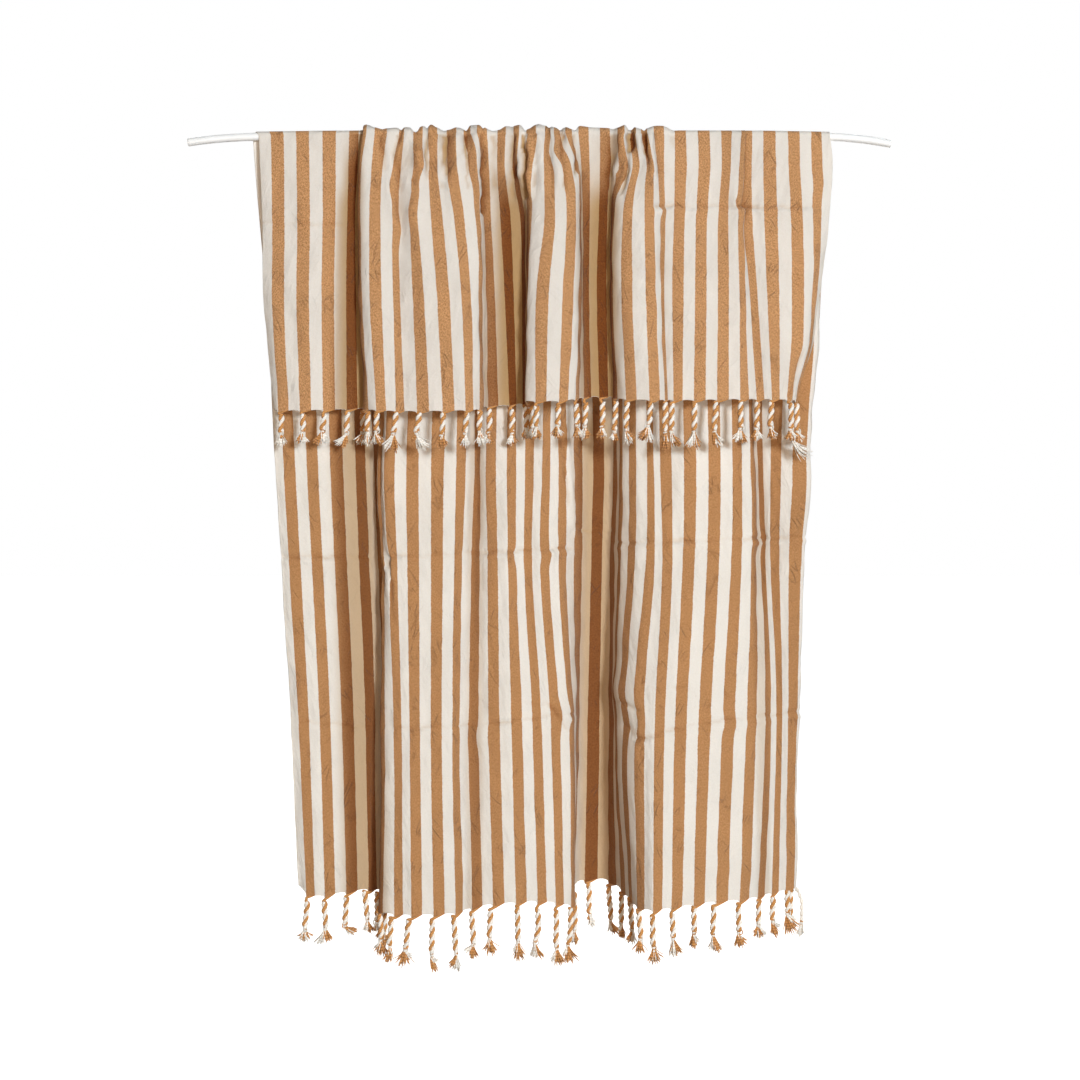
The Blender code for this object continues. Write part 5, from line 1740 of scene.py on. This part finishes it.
@dataclass(frozen=True)
class Lamp:
    """A soft square light of the studio.

    Args:
        name: its name.
        aside: degrees by which it stands to the right of straight in front of the towel.
        rise: degrees by which it stands above the middle of the towel.
        away: distance from there.
        size: its width and height.
        power: its power in watts.
        colour: colour of its light.
    """

    name: str
    aside: float
    rise: float
    away: float
    size: float
    power: float
    colour: tuple[float, float, float]


@dataclass
class Studio:
    """Pale floor, soft lights, white surroundings and the camera.

    Args:
        floor_z: height of the floor, below the fringe.
        reach: half width of the floor.
        middle: height of the middle of the towel, which the lights look at.
        lamps: the lights.
        finish: how the floor looks.
    """

    floor_z: float = -1.52
    reach: float = 14.0
    middle: float = -0.55
    lamps: tuple[Lamp, ...] = (
        Lamp("key", 21.0, 7.0, 9.0, 1.2, 720.0, (0.80, 0.915, 1.0)),
        Lamp("fill", 4.0, -4.0, 5.0, 4.0, 154.0, (1.0, 0.75, 0.52)),
        Lamp("rear", 168.0, 12.0, 5.0, 3.2, 125.0, (1.0, 0.93, 0.84)),
        Lamp("right_side", 116.0, 4.0, 5.0, 3.0, 60.0, (1.0, 0.93, 0.82)),
        Lamp("left_side", -116.0, 4.0, 5.0, 3.0, 75.0, (1.0, 0.93, 0.82)),
    )
    finish: PaleFloor = field(default_factory=PaleFloor)

    def floor(self) -> bpy.types.Object:
        """Wide flat floor below the towel, which adds no light of its own to the cloth."""
        across, behind = np.linspace(-self.reach, self.reach, 9), np.linspace(-self.reach, 3 * self.reach, 13)
        xs, ys = np.meshgrid(across, behind)
        rows = np.stack([xs, ys, np.full_like(xs, self.floor_z)], axis=-1)
        draft = Draft()
        draft.grid(rows, rows[..., :2])
        plain = draft.made("studio_floor", [self.finish.material()])
        plain.visible_diffuse = plain.visible_transmission = False
        return plain

    def surroundings(self) -> bpy.types.World:
        """White surroundings, which the lamps light the towel in place of."""
        world = bpy.data.worlds.new("white_surroundings")
        world.use_nodes = True
        backdrop = world.node_tree.nodes["Background"]
        backdrop.inputs["Color"].default_value = (1.0, 1.0, 1.0, 1.0)
        backdrop.inputs["Strength"].default_value = 1.0
        world.cycles_visibility.diffuse = world.cycles_visibility.transmission = False
        return world

    def light(self, lamp: Lamp) -> None:
        """Add a soft light that looks at the middle of the towel."""
        glow = bpy.data.lights.new(lamp.name, "AREA")
        glow.shape, glow.size, glow.energy, glow.color = "SQUARE", lamp.size, lamp.power, lamp.colour
        aside, rise = math.radians(lamp.aside), math.radians(lamp.rise)
        away = np.array([math.sin(aside) * math.cos(rise), -math.cos(aside) * math.cos(rise), math.sin(rise)])
        thing = bpy.data.objects.new(lamp.name, glow)
        thing.location = away * lamp.away + np.array([0.0, 0.0, self.middle])
        thing.rotation_euler = (math.pi / 2 - rise, 0.0, aside)
        bpy.context.scene.collection.objects.link(thing)

    def viewer(self) -> bpy.types.Object:
        """Camera in front of the towel, level, which sees the whole drawing."""
        lens = bpy.data.cameras.new("viewer")
        lens.sensor_width = 36.0
        lens.lens = lens.sensor_width * VIEW_DISTANCE / (DRAWING * UNIT)
        viewer = bpy.data.objects.new("viewer", lens)
        viewer.location = (0.0, -VIEW_DISTANCE, -EYE_DROP)
        viewer.rotation_euler = (math.pi / 2, 0.0, 0.0)
        bpy.context.scene.collection.objects.link(viewer)
        return viewer

    def build(self) -> bpy.types.Object:
        """Set up the floor, lights, surroundings and camera.

        Returns:
            The floor.
        """
        for lamp in self.lamps:
            self.light(lamp)
        bpy.context.scene.world = self.surroundings()
        bpy.context.scene.view_settings.view_transform = "Standard"
        bpy.context.scene.camera = self.viewer()
        return self.floor()


def dress(piece: bpy.types.Object, node: str) -> None:
    """Let a piece stand for its CAD node: it rides on the body, and the node is hidden."""
    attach(piece, "root")
    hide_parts(node)


def main() -> None:
    """Build the studio, the rod, the cloth and its two fringes."""
    log = logging.getLogger("hammam_towel")
    logging.basicConfig(level=logging.INFO, format="%(message)s")
    Studio().build()
    rod = HangingRod().build()
    dress(rod, "rod")
    cloth = TowelCloth()
    towel = cloth.build()
    dress(towel, "towel_cloth")
    fringes = []
    for fringe in (
        TwistedFringe(cloth, Fall.FRONT, FRONT_TASSELS, FRONT_LONE, seed=11),
        TwistedFringe(cloth, Fall.BACK, BACK_TASSELS, BACK_LONE, seed=23),
    ):
        fringes.append(fringe.build())
        dress(fringes[-1], f"fringe_{fringe.fall.value}")
    for piece in (rod, towel, *fringes):
        log.info("%s: %d faces", piece.name, len(piece.data.polygons))


if __name__ == "__main__":
    main()
